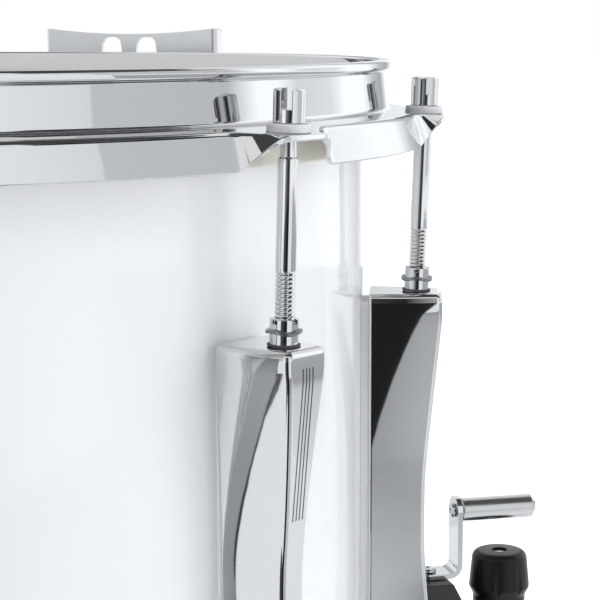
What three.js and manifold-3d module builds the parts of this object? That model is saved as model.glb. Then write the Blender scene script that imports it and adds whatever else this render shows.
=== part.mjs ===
// Marching snare drum: a 14 by 12 inch shell with ten double-ended lugs, pressed hoops and a
// side-throw strainer. Millimetres, +Z up. The origin is the middle of the part's plan, at the
// height of the lip on which the drum stands.
// In a station's own frame +X points away from the drum's axis and +Y runs along the shell.
import * as THREE from "three";
import { mergeVertices } from "three/addons/utils/BufferGeometryUtils.js";
import Module from "manifold-3d";

const wasm = await Module();
wasm.setup();

// Shell
const shellRadius = 177.8;
const shellDepth = 304.8;
const shellWall = 7.6;
const bearingRound = 2.2;
const bearingDrop = 4.4;
const snareBedDrop = 1.6;
const snareBedWidth = 96;
const ventRadius = 6.4;
const ventFlange = 10.2;
const ventFlangeThickness = 1.4;
const ventWall = 1.2;

// Clearances
const fitGap = 0.3;
const runningGap = 0.4;
const overrun = 2;

// Hoops: reaches beyond the shell, and heights from the plane of the hoop's own lip
const rimAboveHead = 9;
const sheet = 1.6;
const lipReach = 10.1;
const lipHeight = 3.4;
const lipRound = 0.9;
const collarTopReach = 7.4;
const collarFootReach = 8.8;
const collarHeight = 15.8;
const shoulderReach = 17.8;
const shoulderHeight = 17.8;
const skirtTopHeight = 19.6;
const skirtTopReach = 19;
const skirtFootReach = 21.5;
const skirtHeight = 29;
const earReach = 28.2;
const earHeight = 18.9;
const earHalfWidth = 7;
const earFlare = 12;
const gateHalfWidth = 25;
const gateBottom = 4.6;
const gateTop = 20.2;

// Heads
const filmThickness = 0.35;
const filmReach = 1.6;
const fleshInnerReach = 2.8;
const fleshOuterReach = 11.6;
const fleshHeight = 8.6;
const fleshDrop = 0.9;
const filmTuck = 1.2;

// Tension rods, along their own axis from the ear's face
const rodCount = 10;
const rodReachAtEar = 21.1;
const rodLean = THREE.MathUtils.degToRad(2.05);
const rodShank = 6;
const rodNeck = 4.9;
const rodNeckLength = 7.6;
const rodLength = 76;
const rodHead = 9.5;
const rodHeadHeight = 10;
const slotWidth = 3;
const slotDepth = 6;
const washerDiameter = 13;
const washerThickness = 2.4;
const earHole = 6.6;

// Lugs: heights from the middle of the shell, and each form's stand above the lug's own base
const lugEndDrop = 80.5;
const lugSeat = 2.6;
const lugFootInset = 1.3;
const lugRound = 2.6;
const lugEndRound = 1.8;
const lugTop = { base: 12, front: 8.6, stand: 25.7 };
const lugShoulder = { base: 11.8, front: 7.4, stand: 24.1 };
const lugWaist = { base: 11, front: 4.5, stand: 19.8 };
const lugShoulderDrop = 20;
const lugWaistHalfLength = 20;
const lugSwellShare = 0.6;

// Swivel nuts, standing out of each end of a lug
const nutDiameter = 8.6;
const nutStand = 9.2;
const rodBore = 6.9;
const rodBoreSpare = 11.6;

// Strainer: its clamp starts above the hoop, and each piece stands on the one below it
const clampRise = 11;
const clampHeight = 34;
const clampHeadroom = 8;
const clampTravel = 3;
const yokeHeight = 18;
const tableDrop = 19.5;
const bodyHalfWidth = 12;
const bodyReach = 44.6;
const bodyTopRake = 3.4;
const bodyFootRake = 17.4;
const bodyBevel = 6.5;
const bodySlope = 24;
const bodySlopeClearance = 3;
const bodyTopWall = 6;
const bodyCheek = 2.4;
const chamberDepth = 23.4;

// Lever, turning on an upright spindle in the strainer's top
const spindleInset = 10.4;
const spindleDiameter = 7;
const spindleHub = 8.4;
const camDiameter = 14.8;
const camBase = 2;
const camTravel = 6;
const camTurn = Math.PI / 2;
const camTab = 3;
const camTabHalfWidth = 1.6;
const camTabReach = 2.8;
const armThickness = 2;
const armWidth = 11.4;
const armStand = 2.2;
const armBend = 5;
const gripRise = 26.5;
const gripDiameter = 9.2;
const gripLength = 30;
const gripRound = 1;
const pinDiameter = 4;
const pinHeadDiameter = 5.5;
const pinHeadThickness = 1.1;
const leverScrewDiameter = 7;
const leverScrewThickness = 1.4;
const leverScrewShank = 3;

// Yoke, the slide that the cam carries, and its table
const yokeBack = 4;
const tableThickness = 10;
const tableHalfWidth = 11;
const tableRim = 12;
const screwStand = 19;
const screwDiameter = 6;
const screwTail = 10;
const guideDiameter = 3;
const guideSpread = 7.5;
const guideStand = 8;
const guideTail = 6;

// Tension knob
const knobCollarDiameter = 20.6;
const knobCollarHeight = 10.6;
const knobDiameter = 24;
const knobTopDiameter = 21.2;
const knobHeight = 19.4;
const knobChamfer = 3.4;
const knobRound = 2.4;
const knobCornerShare = 0.3;
const knobFluteCount = 8;
const knobFluteDiameter = 3.6;

// Snare clamp
const clampGap = 0.6;
const clampHalfWidth = 20;
const clampPlate = 2.2;
const clampWall = 4.4;
const clampBossHalfWidth = 10.6;
const clampBossHeight = 18;
const clampScrewDiameter = 4;
const clampScrewHead = 7;
const clampScrewThickness = 2;
const clampScrewSpread = 15.5;

// Butt, opposite the strainer
const buttRise = 5;
const buttHeight = 46;
const buttMargin = 6;
const buttHalfWidth = 20;
const buttStandOff = 4.3;
const buttBevel = 6;
const buttScrewDepth = 12;

// Snares
const strandCount = 14;
const strandDiameter = 1.5;
const strandPitch = 2.7;
const strandInset = 18.2;
const endPlateLength = 11;
const endPlateThickness = 2.4;
const endPlateHalfWidth = 20;
const snareGap = 0.6;
const strapHalfWidth = 11;
const strapThickness = 0.6;

// Carrier plate, heights from the plane of the batter lip
const plateHalfWidth = 43.5;
const plateThickness = 2;
const plateFlange = 7;
const plateRound = 6;
const plateEndRise = 10.4;
const plateMiddleRise = 7.8;
const plateBottomDrop = 60;
const plateStandOff = 1.4;
const windowSpread = 8.8;
const windowTopHalfWidth = 4.4;
const windowFootHalfWidth = 6.6;
const windowRise = 5.4;
const windowDrop = 13;
const windowRound = 2.6;
const plateScrewSpread = 33;
const plateScrewDrop = 48;
const plateScrewDiameter = 4;
const plateScrewHead = 8;
const plateSleeve = 7;

// Sides of small round pieces and of the cutters that follow the shell
const screwSides = 12;
const boreSides = 10;
const knobSides = 16;
const seatSides = 180;

// What follows from the sizes above
const headHeight = rimAboveHead;
const drumHeight = shellDepth + 2 * (headHeight + filmThickness + fitGap);
const middleHeight = drumHeight / 2;
const lipRadius = shellRadius + lipReach;
const collarTopRadius = shellRadius + collarTopReach;
const collarFootRadius = shellRadius + collarFootReach;
const shoulderRadius = shellRadius + shoulderReach;
const skirtTopRadius = shellRadius + skirtTopReach;
const skirtFootRadius = shellRadius + skirtFootReach;
const earRadius = shellRadius + earReach;
const filmRadius = shellRadius + filmReach;
const fleshInner = shellRadius + fleshInnerReach;
const fleshOuter = shellRadius + fleshOuterReach;
const rodRadiusAtEar = shellRadius + rodReachAtEar;
const lugBaseRadius = shellRadius + lugSeat;
const lugHalfLength = middleHeight - lugEndDrop;
const rodBoreDepth = earHeight + rodLength - lugEndDrop + rodBoreSpare;
const clampBottom = skirtHeight + clampRise;
const clampTop = clampBottom + clampHeight;
const clampBossBottom = clampTop - clampBossHeight;
const clampScrewHeight = (clampTop + clampBottom) / 2;
const clampPlateTop = clampTop - clampPlate;
const yokeBottom = clampTop + clampHeadroom;
const tableTop = yokeBottom + yokeHeight;
const bodyTop = tableTop + tableDrop;
const slopeTop = clampTop + clampTravel + bodySlopeClearance;
const bodyBottom = slopeTop - bodySlope;
const gripHeight = bodyTop + gripRise;
const screwBottom = clampBossBottom - screwTail;
const guideBottom = clampBossBottom - guideTail;
const bodyFace = shellRadius + bodyReach;
const bodyTopFace = bodyFace - bodyTopRake;
const bodyFootFace = bodyFace - bodyFootRake;
const chamberBack = bodyFace - chamberDepth;
const leverAxis = bodyFace - spindleInset;
const armFace = bodyFace + armStand;
const clampFace = bodyFace + clampGap;
const guideRadius = clampFace + guideStand;
const screwRadius = clampFace + screwStand;
const tableReach = screwRadius + tableRim;
const buttFace = skirtFootRadius + buttStandOff;
const buttBottom = skirtHeight + buttRise;
const buttTop = buttBottom + buttHeight;
const jawTop = buttTop - buttMargin - clampPlate;
const jawScrewHeight = (buttTop + buttBottom) / 2;
const strandHalfLength = shellRadius - shellWall - strandInset;
const plateDistance = earRadius + plateStandOff;
const sectorAngle = (2 * Math.PI) / rodCount;
const strainerAzimuth = 0;
const buttAzimuth = Math.PI;
const plateAzimuth = 1.5 * sectorAngle;
const ventAzimuth = 3 * sectorAngle;
const rodAzimuths = Array.from({ length: rodCount }, (_, i) => (i + 0.5) * sectorAngle);

const chrome = { color: 0xd4d8dc, roughness: 0.08, metalness: 1 };
const whiteLacquer = { color: 0xf2f3f4, roughness: 0.12, metalness: 0 };
const whiteFilm = { color: 0xf1f0ec, roughness: 0.5, metalness: 0 };
const blackPlastic = { color: 0x141416, roughness: 0.38, metalness: 0 };
const blackCasting = { color: 0x1b1b1e, roughness: 0.45, metalness: 0.2 };
const clearStrap = { color: 0xdfe3e6, roughness: 0.3, metalness: 0 };
const steelCable = { color: 0xb9bcc0, roughness: 0.35, metalness: 1 };

// Turns a closed geometry into a solid that can be joined and cut.
function solid(geometry) {
  const bare = geometry.index ? geometry.toNonIndexed() : geometry.clone();
  for (const name of Object.keys(bare.attributes)) {
    if (name !== "position") bare.deleteAttribute(name);
  }
  const merged = mergeVertices(bare, 1e-4);
  const made = new wasm.Manifold(
    new wasm.Mesh({
      numProp: 3,
      vertProperties: merged.attributes.position.array,
      triVerts: new Uint32Array(merged.index.array),
    }),
  );
  return made;
}

function geometryOf(body) {
  const mesh = body.getMesh();
  const points = new Float32Array(mesh.numVert * 3);
  for (let i = 0; i < mesh.numVert; i++) {
    points.set(mesh.vertProperties.subarray(i * mesh.numProp, i * mesh.numProp + 3), i * 3);
  }
  const geometry = new THREE.BufferGeometry();
  geometry.setAttribute("position", new THREE.BufferAttribute(points, 3));
  geometry.setIndex(new THREE.BufferAttribute(new Uint32Array(mesh.triVerts), 1));
  const flat = geometry.toNonIndexed();
  flat.computeVertexNormals();
  return flat;
}

function piece(name, body, finish) {
  const mesh = new THREE.Mesh(geometryOf(body), new THREE.MeshStandardMaterial(finish));
  mesh.name = name;
  return mesh;
}

// A group whose +X points outwards at an azimuth of the drum.
function station(azimuth, ...pieces) {
  const group = new THREE.Group();
  group.rotation.z = azimuth;
  group.add(...pieces);
  return group;
}

function turned(geometry, azimuth) {
  return geometry.clone().rotateZ(azimuth);
}

function box(x0, x1, y0, y1, z0, z1) {
  const g = new THREE.BoxGeometry(x1 - x0, y1 - y0, z1 - z0);
  return solid(g.translate((x0 + x1) / 2, (y0 + y1) / 2, (z0 + z1) / 2));
}

// A round bar along Z between two heights.
function bar(diameter, z0, z1, sides = screwSides, x = 0, y = 0) {
  const g = new THREE.CylinderGeometry(diameter / 2, diameter / 2, z1 - z0, sides);
  return solid(g.rotateX(Math.PI / 2).translate(x, y, (z0 + z1) / 2));
}

// A round bar along X, from one distance to another, at a place in the other two.
function crossBar(diameter, x0, x1, y, z, sides = screwSides) {
  const g = new THREE.CylinderGeometry(diameter / 2, diameter / 2, x1 - x0, sides);
  return solid(g.rotateZ(Math.PI / 2).translate((x0 + x1) / 2, y, z));
}

// Revolves a profile of [radius, height] points about Z. The profile starts and ends on the axis,
// or is a closed ring.
function revolve(profile, segments) {
  const points = profile.map(([r, z]) => new THREE.Vector2(r, z));
  return solid(new THREE.LatheGeometry(points, segments).rotateX(Math.PI / 2));
}

// Closes a band of equal rings of points, into a ring of its own or with an end cap at each end.
function loft(rings, endless) {
  const count = rings[0].length;
  const points = rings.flat();
  const faces = [];
  const last = endless ? rings.length : rings.length - 1;
  for (let i = 0; i < last; i++) {
    const a = i * count;
    const b = ((i + 1) % rings.length) * count;
    for (let j = 0; j < count; j++) {
      const k = (j + 1) % count;
      faces.push(a + j, b + j, b + k, a + j, b + k, a + k);
    }
  }
  if (!endless) {
    const end = (rings.length - 1) * count;
    for (let j = 1; j < count - 1; j++) {
      faces.push(0, j, j + 1, end, end + j + 1, end + j);
    }
  }
  const geometry = new THREE.BufferGeometry().setFromPoints(points);
  geometry.setIndex(faces);
  return solid(geometry);
}

// A plate cut from a flat outline of [x, y] points and given a thickness along Z.
function extrude(outline, depth, holes = [], curveSegments = 5) {
  const drawn = outline instanceof THREE.Shape;
  const shape = drawn ? outline : new THREE.Shape(outline.map(([x, y]) => new THREE.Vector2(x, y)));
  shape.holes.push(...holes);
  return new THREE.ExtrudeGeometry(shape, { depth, bevelEnabled: false, curveSegments });
}

const blend = (a, b, share) => a + (b - a) * share;

// Sides of everything as wide as the shell, five to each sector between rods.
const roundSides = 5 * rodCount;
const rodSides = 8;

// Hoop: one closed section of pressed sheet, swept round the drum. Beside each rod its skirt swings
// out and up into an ear. The share is 1 at the ear and 0 on the plain skirt.
function hoopSection(earShare) {
  const footRadius = blend(skirtFootRadius, earRadius, earShare);
  const footHeight = blend(skirtHeight, earHeight, earShare);
  const bendRadius = blend(skirtTopRadius, rodRadiusAtEar, earShare);
  const bendHeight = blend(skirtTopHeight, earHeight, earShare);
  const seatRadius = rodRadiusAtEar - washerDiameter / 2 - fitGap;
  const shoulderEdge = blend(shoulderRadius, seatRadius, earShare);
  const shoulderEdgeHeight = blend(shoulderHeight, earHeight, earShare);
  const lean = Math.atan2(footRadius - bendRadius, footHeight - bendHeight);
  const insideX = sheet * Math.cos(lean);
  const insideZ = sheet * Math.sin(lean);
  return [
    [collarTopRadius - sheet, 0],
    [lipRadius - lipRound, 0],
    [lipRadius, lipRound],
    [lipRadius, lipHeight],
    [collarTopRadius, lipHeight],
    [collarFootRadius, collarHeight],
    [shoulderEdge, shoulderEdgeHeight],
    [bendRadius, bendHeight],
    [footRadius, footHeight],
    [footRadius - insideX, footHeight + insideZ],
    [bendRadius - insideX, bendHeight + insideZ + sheet / 2],
    [collarFootRadius - sheet, shoulderHeight + sheet],
  ];
}

// Distances from a rod, along the skirt, at which the hoop has a section of its own.
function hoopStations() {
  const flareShares = [0, 0.36, 1];
  const half = (sectorAngle / 2) * skirtFootRadius;
  const flares = flareShares.map((share) => earHalfWidth + earFlare * share);
  const side = [...flares, blend(earHalfWidth + earFlare, half, 1 / 2)];
  return [...side.map((d) => -d).reverse(), 0, ...side, half];
}

function earShareAt(distance) {
  const share = Math.min(Math.max((Math.abs(distance) - earHalfWidth) / earFlare, 0), 1);
  return (1 - share) ** 2;
}

function hoopBody() {
  const rings = [];
  for (const azimuth of rodAzimuths) {
    for (const distance of hoopStations()) {
      const angle = azimuth + distance / skirtFootRadius;
      const ring = hoopSection(earShareAt(distance)).map(
        ([r, h]) => new THREE.Vector3(r * Math.cos(angle), r * Math.sin(angle), h),
      );
      rings.push(ring);
    }
  }
  let body = loft(rings, true);
  for (const azimuth of rodAzimuths) {
    const hole = new THREE.CylinderGeometry(earHole / 2, earHole / 2, 4 * sheet, rodSides);
    hole.rotateX(Math.PI / 2).translate(rodRadiusAtEar, 0, earHeight + sheet / 2);
    body = body.subtract(solid(turned(hole, azimuth)));
  }
  return body;
}

function flipped(body) {
  return body.mirror([0, 0, 1]).translate([0, 0, drumHeight]);
}

function snareHoop() {
  const inner = collarTopRadius - sheet - overrun;
  const outer = skirtFootRadius + overrun;
  let body = hoopBody();
  for (const side of [1, -1]) {
    const x0 = side > 0 ? inner - overrun : -outer;
    const x1 = side > 0 ? outer : overrun - inner;
    body = body.subtract(box(x0, x1, -gateHalfWidth, gateHalfWidth, gateBottom, gateTop));
  }
  return body;
}

// Head: a film over the bearing edge, its collar gripped by a flesh hoop.
function headBody() {
  const top = headHeight;
  const fleshTop = shoulderHeight + sheet + fleshDrop;
  const fleshFoot = fleshTop + fleshHeight;
  const under = top + filmThickness;
  return revolve(
    [
      [0, top],
      [filmRadius, top],
      [filmRadius, fleshTop],
      [fleshOuter, fleshTop],
      [fleshOuter, fleshFoot],
      [fleshInner, fleshFoot],
      [fleshInner, fleshTop + filmTuck],
      [filmRadius - filmThickness, fleshTop + filmTuck],
      [filmRadius - filmThickness, under],
      [0, under],
    ],
    roundSides,
  );
}

function shellBody() {
  const bottom = headHeight + filmThickness + fitGap;
  const top = drumHeight - bottom;
  const inner = shellRadius - shellWall;
  let body = revolve(
    [
      [inner, bottom + bearingDrop],
      [shellRadius - bearingRound, bottom],
      [shellRadius, bottom + bearingRound],
      [shellRadius, top - bearingRound],
      [shellRadius - bearingRound, top],
      [inner, top - bearingDrop],
      [inner, bottom + bearingDrop],
    ],
    roundSides,
  );
  const bedRadius = (snareBedWidth ** 2 / 4 + snareBedDrop ** 2) / (2 * snareBedDrop);
  const bed = new THREE.CylinderGeometry(bedRadius, bedRadius, 2 * (shellRadius + overrun), seatSides);
  const bedAxis = bottom + snareBedDrop - bedRadius;
  body = body.subtract(solid(bed.rotateZ(Math.PI / 2).translate(0, 0, bedAxis)));
  const vent = new THREE.CylinderGeometry(ventRadius, ventRadius, 4 * shellWall, knobSides);
  vent.rotateZ(Math.PI / 2).translate(shellRadius, 0, middleHeight);
  return body.subtract(solid(turned(vent, ventAzimuth)));
}

// Vent: a flanged eyelet through the shell's wall, set at its own station.
function ventBody() {
  const outer = ventRadius - fitGap;
  const bore = outer - ventWall;
  const seat = shellRadius + fitGap;
  const inside = shellRadius - shellWall - ventFlangeThickness;
  const body = revolve(
    [
      [bore, inside],
      [outer, inside],
      [outer, seat],
      [ventFlange, seat],
      [ventFlange - ventFlangeThickness / 2, seat + ventFlangeThickness],
      [bore, seat + ventFlangeThickness],
      [bore, inside],
    ],
    knobSides,
  );
  return body.rotate([0, 90, 0]).translate([0, 0, middleHeight]);
}

// Tension rod: turned on its own axis, which starts at the ear's face and runs to the nut.
function rodBody() {
  const seat = fitGap + Math.sin(rodLean) * (washerDiameter / 2);
  const headFoot = seat + washerThickness;
  const headTop = headFoot + rodHeadHeight;
  const shankTop = -rodNeckLength;
  const body = revolve(
    [
      [0, -rodLength],
      [rodShank / 2, -rodLength],
      [rodShank / 2, shankTop],
      [rodNeck / 2, shankTop],
      [rodNeck / 2, seat],
      [washerDiameter / 2, seat],
      [washerDiameter / 2, headFoot],
      [rodHead / 2, headFoot],
      [rodHead / 2, headTop],
      [0, headTop],
    ],
    rodSides,
  );
  const reach = rodHead + overrun;
  const half = slotWidth / 2;
  return body.subtract(box(-reach, reach, -half, half, headTop - slotDepth, headTop + overrun));
}

// Puts what is drawn along a rod's axis where the rod is, at the batter or the snare end.
function atRod(atBatter, ...pieces) {
  const axis = new THREE.Group();
  axis.rotation.y = atBatter ? rodLean : Math.PI - rodLean;
  axis.position.set(rodRadiusAtEar, 0, atBatter ? drumHeight - earHeight : earHeight);
  axis.add(...pieces);
  return axis;
}

// Lug section at one height: a wide base by the shell, flanks that lean in and a rounded front.
function lugRing({ base, front, stand }, height, inset = 0) {
  const round = Math.min(lugRound, front / 2);
  const half = front - inset;
  const face = lugBaseRadius + stand - inset;
  const back = lugBaseRadius + inset;
  const side = base - inset;
  const outline = [
    [back, side],
    [face - round, half],
    [face, half - round],
    [face, -half + round],
    [face - round, -half],
    [back, -side],
  ];
  return outline.map(([x, y]) => new THREE.Vector3(x, y, height));
}

function mixed(a, b, share) {
  return {
    base: blend(a.base, b.base, share),
    front: blend(a.front, b.front, share),
    stand: blend(a.stand, b.stand, share),
  };
}

// Section of a lug at a distance from its middle.
function lugFormAt(distance) {
  const shoulder = lugHalfLength - lugShoulderDrop;
  if (distance <= lugWaistHalfLength) return lugWaist;
  if (distance >= shoulder) {
    return mixed(lugShoulder, lugTop, (distance - shoulder) / lugShoulderDrop);
  }
  const share = (distance - lugWaistHalfLength) / (shoulder - lugWaistHalfLength);
  return mixed(lugWaist, lugShoulder, share * share * (1 + lugSwellShare - lugSwellShare * share));
}

function lugBlock() {
  const shoulder = lugHalfLength - lugShoulderDrop;
  const distances = [
    lugWaistHalfLength,
    blend(lugWaistHalfLength, shoulder, 1 / 2),
    shoulder,
    lugHalfLength - lugEndRound,
  ];
  const ends = lugFormAt(lugHalfLength);
  const low = [...distances].reverse().map((d) => lugRing(lugFormAt(d), -d));
  const high = distances.map((d) => lugRing(lugFormAt(d), d));
  const foot = lugRing(ends, -lugHalfLength, lugEndRound);
  const head = lugRing(ends, lugHalfLength, lugEndRound);
  return loft([foot, ...low, ...high, head], false);
}

// Swivel nut, drawn up the rod's axis from the face of the lug.
function nutBody() {
  return bar(nutDiameter, -overrun, nutStand, rodSides);
}

// Moves a body from a rod's axis, at the height where it meets the lug's end, to that end of the lug.
function ontoLugEnd(body, side, offset = 0) {
  const travel = middleHeight - earHeight - lugHalfLength;
  const x = rodRadiusAtEar - Math.tan(rodLean) * travel;
  const leaning = body.translate([0, 0, offset]).rotate([0, THREE.MathUtils.radToDeg(rodLean), 0]);
  const placed = leaning.translate([x, 0, lugHalfLength]);
  return side > 0 ? placed : placed.mirror([0, 0, 1]);
}

function lugBody() {
  let body = lugBlock();
  const footHalfWidth = lugWaist.base - lugFootInset;
  const footHalfLength = lugHalfLength - lugFootInset - lugEndRound;
  const footBack = shellRadius - 2 * overrun;
  const footFront = lugBaseRadius + lugEndRound;
  const foot = box(footBack, footFront, -footHalfWidth, footHalfWidth, -footHalfLength, footHalfLength);
  body = body.add(foot.subtract(shellSeat(-lugHalfLength, lugHalfLength)));
  for (const side of [-1, 1]) {
    body = body.add(ontoLugEnd(nutBody(), side));
  }
  for (const side of [-1, 1]) {
    body = body.subtract(ontoLugEnd(bar(rodBore, -rodBoreDepth, nutStand + overrun, rodSides), side));
  }
  return body.translate([0, 0, middleHeight]);
}

// What the shell takes out of a block that is curved to sit on it, between two heights.
function shellSeat(bottom, top) {
  return bar(2 * (shellRadius + fitGap), bottom - overrun, top + overrun, seatSides);
}

// Strainer body: a cast block on the shell, hollowed from its face into a chamber for the yoke.
function strainerBody() {
  const outline = [
    [shellRadius - overrun, bodyTop],
    [bodyTopFace, bodyTop],
    [bodyFace, bodyTop - bodyBevel],
    [bodyFace, slopeTop],
    [bodyFootFace, bodyBottom],
    [shellRadius - overrun, bodyBottom],
  ];
  const profile = extrude(outline, 2 * bodyHalfWidth);
  let body = solid(profile.rotateX(Math.PI / 2).translate(0, bodyHalfWidth, 0));
  body = body.subtract(shellSeat(bodyBottom, bodyTop));
  const half = bodyHalfWidth - bodyCheek;
  const ceiling = bodyTop - bodyTopWall;
  body = body.subtract(box(chamberBack, bodyFace + overrun, -half, half, bodyBottom - overrun, ceiling));
  const bore = spindleDiameter + 2 * runningGap;
  return body.subtract(bar(bore, ceiling - overrun, bodyTop + overrun, knobSides, leverAxis));
}

// Height of the cam's highest stretch, on which the yoke's tab hangs.
const camTop = bodyTop - bodyTopWall - 2 * runningGap - camTab;

// Cam: a disc with a ramp on its top, which ends at the higher edge of the yoke's tab.
// As the lever turns, the height under that edge falls evenly.
function camBody() {
  const foot = camTop - camTravel;
  const disc = bar(camDiameter, foot - camBase, foot, knobSides, leverAxis);
  const tabEdge = Math.asin(camTabHalfWidth / (camDiameter / 2 - camTabReach));
  const steps = 7;
  const rings = [];
  for (let i = 0; i <= steps; i++) {
    const share = i / steps;
    const angle = Math.PI + tabEdge - camTurn * (1 - share);
    const top = foot + camTravel * share;
    const place = (radius, height) =>
      new THREE.Vector3(leverAxis + radius * Math.cos(angle), radius * Math.sin(angle), height);
    const low = foot - camBase / 2;
    const inner = spindleDiameter / 4;
    const outer = camDiameter / 2;
    rings.push([place(outer, low), place(outer, top), place(inner, top), place(inner, low)]);
  }
  return disc.add(loft(rings, false));
}

// Lever: a bent strap on an upright spindle with the cam at its foot.
function leverBody() {
  const foot = bodyTop + runningGap;
  const top = gripHeight + armWidth / 2;
  const start = leverAxis - armWidth / 2;
  const inside = armBend - armThickness;
  const shape = new THREE.Shape();
  shape.moveTo(start, foot);
  shape.lineTo(armFace - armBend, foot);
  shape.absarc(armFace - armBend, foot + armBend, armBend, -Math.PI / 2, 0, false);
  shape.lineTo(armFace, top);
  shape.lineTo(armFace - armThickness, top);
  shape.lineTo(armFace - armThickness, foot + armBend);
  shape.absarc(armFace - armBend, foot + armBend, inside, 0, -Math.PI / 2, true);
  shape.lineTo(start, foot + armThickness);
  const strip = extrude(shape, armWidth).rotateX(Math.PI / 2).translate(0, armWidth / 2, 0);
  let body = solid(strip);
  const upright = new THREE.Shape();
  upright.moveTo(armWidth / 2, foot - overrun);
  upright.lineTo(armWidth / 2, gripHeight);
  upright.absarc(0, gripHeight, armWidth / 2, 0, Math.PI, false);
  upright.lineTo(-armWidth / 2, foot - overrun);
  const front = extrude(upright, armFace - start).rotateX(Math.PI / 2).rotateZ(Math.PI / 2);
  body = body.intersect(solid(front.translate(start, 0, 0)));
  const flat = new THREE.Shape();
  flat.moveTo(armFace + overrun, -armWidth / 2);
  flat.lineTo(armFace + overrun, armWidth / 2);
  flat.absarc(leverAxis, 0, armWidth / 2, Math.PI / 2, (3 * Math.PI) / 2, false);
  const plan = extrude(flat, top - foot + 2 * overrun).translate(0, 0, foot - overrun);
  body = body.intersect(solid(plan));
  const armBack = armFace - 2 * armThickness;
  body = body.subtract(crossBar(pinDiameter + 2 * fitGap, armBack, armFace + overrun, 0, gripHeight));
  const wall = bodyTop - bodyTopWall - runningGap;
  const low = camTop - camTravel;
  body = body.add(bar(spindleDiameter, low, foot + armThickness / 2, screwSides, leverAxis));
  body = body.add(bar(spindleHub, low, wall, screwSides, leverAxis)).add(camBody());
  const bore = leverScrewShank + 2 * fitGap;
  const boreTop = foot + 2 * armThickness;
  return body.subtract(bar(bore, bodyTop - bodyTopWall, boreTop, screwSides, leverAxis));
}

// Screw in the top of the spindle.
function leverScrewBody() {
  const seat = bodyTop + runningGap + armThickness + fitGap;
  const headTop = seat + leverScrewThickness;
  const body = revolve(
    [
      [0, bodyTop - bodyTopWall + fitGap],
      [leverScrewShank / 2, bodyTop - bodyTopWall + fitGap],
      [leverScrewShank / 2, seat],
      [leverScrewDiameter / 2, seat],
      [leverScrewDiameter / 2, seat + leverScrewThickness / 2],
      [leverScrewDiameter / 4, headTop],
      [0, headTop],
    ],
    screwSides,
  );
  return body.translate([leverAxis, 0, 0]);
}

// Grip: a roller that turns on the pin through the arm.
function gripBody() {
  const start = armFace + runningGap;
  const end = start + gripLength;
  const inner = pinDiameter / 2 + runningGap;
  const outer = gripDiameter / 2;
  const body = revolve(
    [
      [inner, start],
      [outer - gripRound, start],
      [outer, start + gripRound],
      [outer, end - gripRound],
      [outer - gripRound, end],
      [inner, end],
      [inner, start],
    ],
    knobSides,
  );
  return body.rotate([0, 90, 0]).translate([0, 0, gripHeight]);
}

function gripPinBody() {
  const headFoot = armFace - armThickness - fitGap;
  const gripEnd = armFace + runningGap + gripLength;
  const start = headFoot - pinHeadThickness;
  const end = gripEnd + fitGap + pinHeadThickness;
  const shaft = crossBar(pinDiameter, start, end, 0, gripHeight);
  const head = crossBar(pinHeadDiameter, start, headFoot, 0, gripHeight);
  const cap = crossBar(pinHeadDiameter, gripEnd + fitGap, end, 0, gripHeight);
  return shaft.add(head).add(cap);
}

// Yoke: hangs by its tab on the cam, slides in the chamber and carries the knob on its table.
function yokeBody() {
  const half = bodyHalfWidth - bodyCheek - runningGap;
  const back = chamberBack + runningGap;
  const tabFoot = camTop + fitGap;
  const camBack = leverAxis - camDiameter / 2;
  let body = box(back, back + yokeBack, -half, half, yokeBottom, tabFoot + camTab);
  const tabTip = camBack + camTabReach;
  body = body.add(box(back, tabTip, -camTabHalfWidth, camTabHalfWidth, tabFoot, tabFoot + camTab));
  body = body.add(box(back, bodyFace + overrun, -half, half, yokeBottom, tableTop));
  const tableFoot = tableTop - tableThickness;
  const wide = tableHalfWidth;
  body = body.add(box(bodyFace + runningGap, tableReach, -wide, wide, tableFoot, tableTop));
  for (const side of [-1, 1]) {
    const y = side * guideSpread;
    body = body.add(bar(guideDiameter, guideBottom, tableTop - overrun, boreSides, guideRadius, y));
  }
  return body.subtract(screwBore(tableFoot, tableTop));
}

// Running hole for the tension screw between two heights.
function screwBore(bottom, top) {
  const bore = screwDiameter + 2 * runningGap;
  return bar(bore, bottom - overrun, top + overrun, screwSides, screwRadius);
}

// Knob: a fluted black grip on the screw that raises and lowers the clamp.
function knobBody() {
  const foot = tableTop + fitGap;
  const gripFoot = foot + knobCollarHeight;
  const top = gripFoot + knobHeight;
  let body = revolve(
    [
      [0, foot],
      [knobCollarDiameter / 2, foot],
      [knobCollarDiameter / 2, gripFoot],
      [knobDiameter / 2, gripFoot + knobChamfer],
      [knobTopDiameter / 2, top - knobRound],
      [knobTopDiameter / 2 - knobRound * knobCornerShare, top - knobRound * knobCornerShare],
      [knobTopDiameter / 2 - knobRound, top],
      [0, top],
    ],
    knobSides,
  );
  for (let i = 0; i < knobFluteCount; i++) {
    const angle = ((i + 0.5) * 2 * Math.PI) / knobFluteCount;
    const reach = knobDiameter / 2 + knobFluteDiameter / 4;
    const x = reach * Math.cos(angle);
    const y = reach * Math.sin(angle);
    body = body.subtract(bar(knobFluteDiameter, gripFoot, top + overrun, 6, x, y));
  }
  return body.add(bar(screwDiameter, screwBottom, foot + overrun)).translate([screwRadius, 0, 0]);
}

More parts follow.
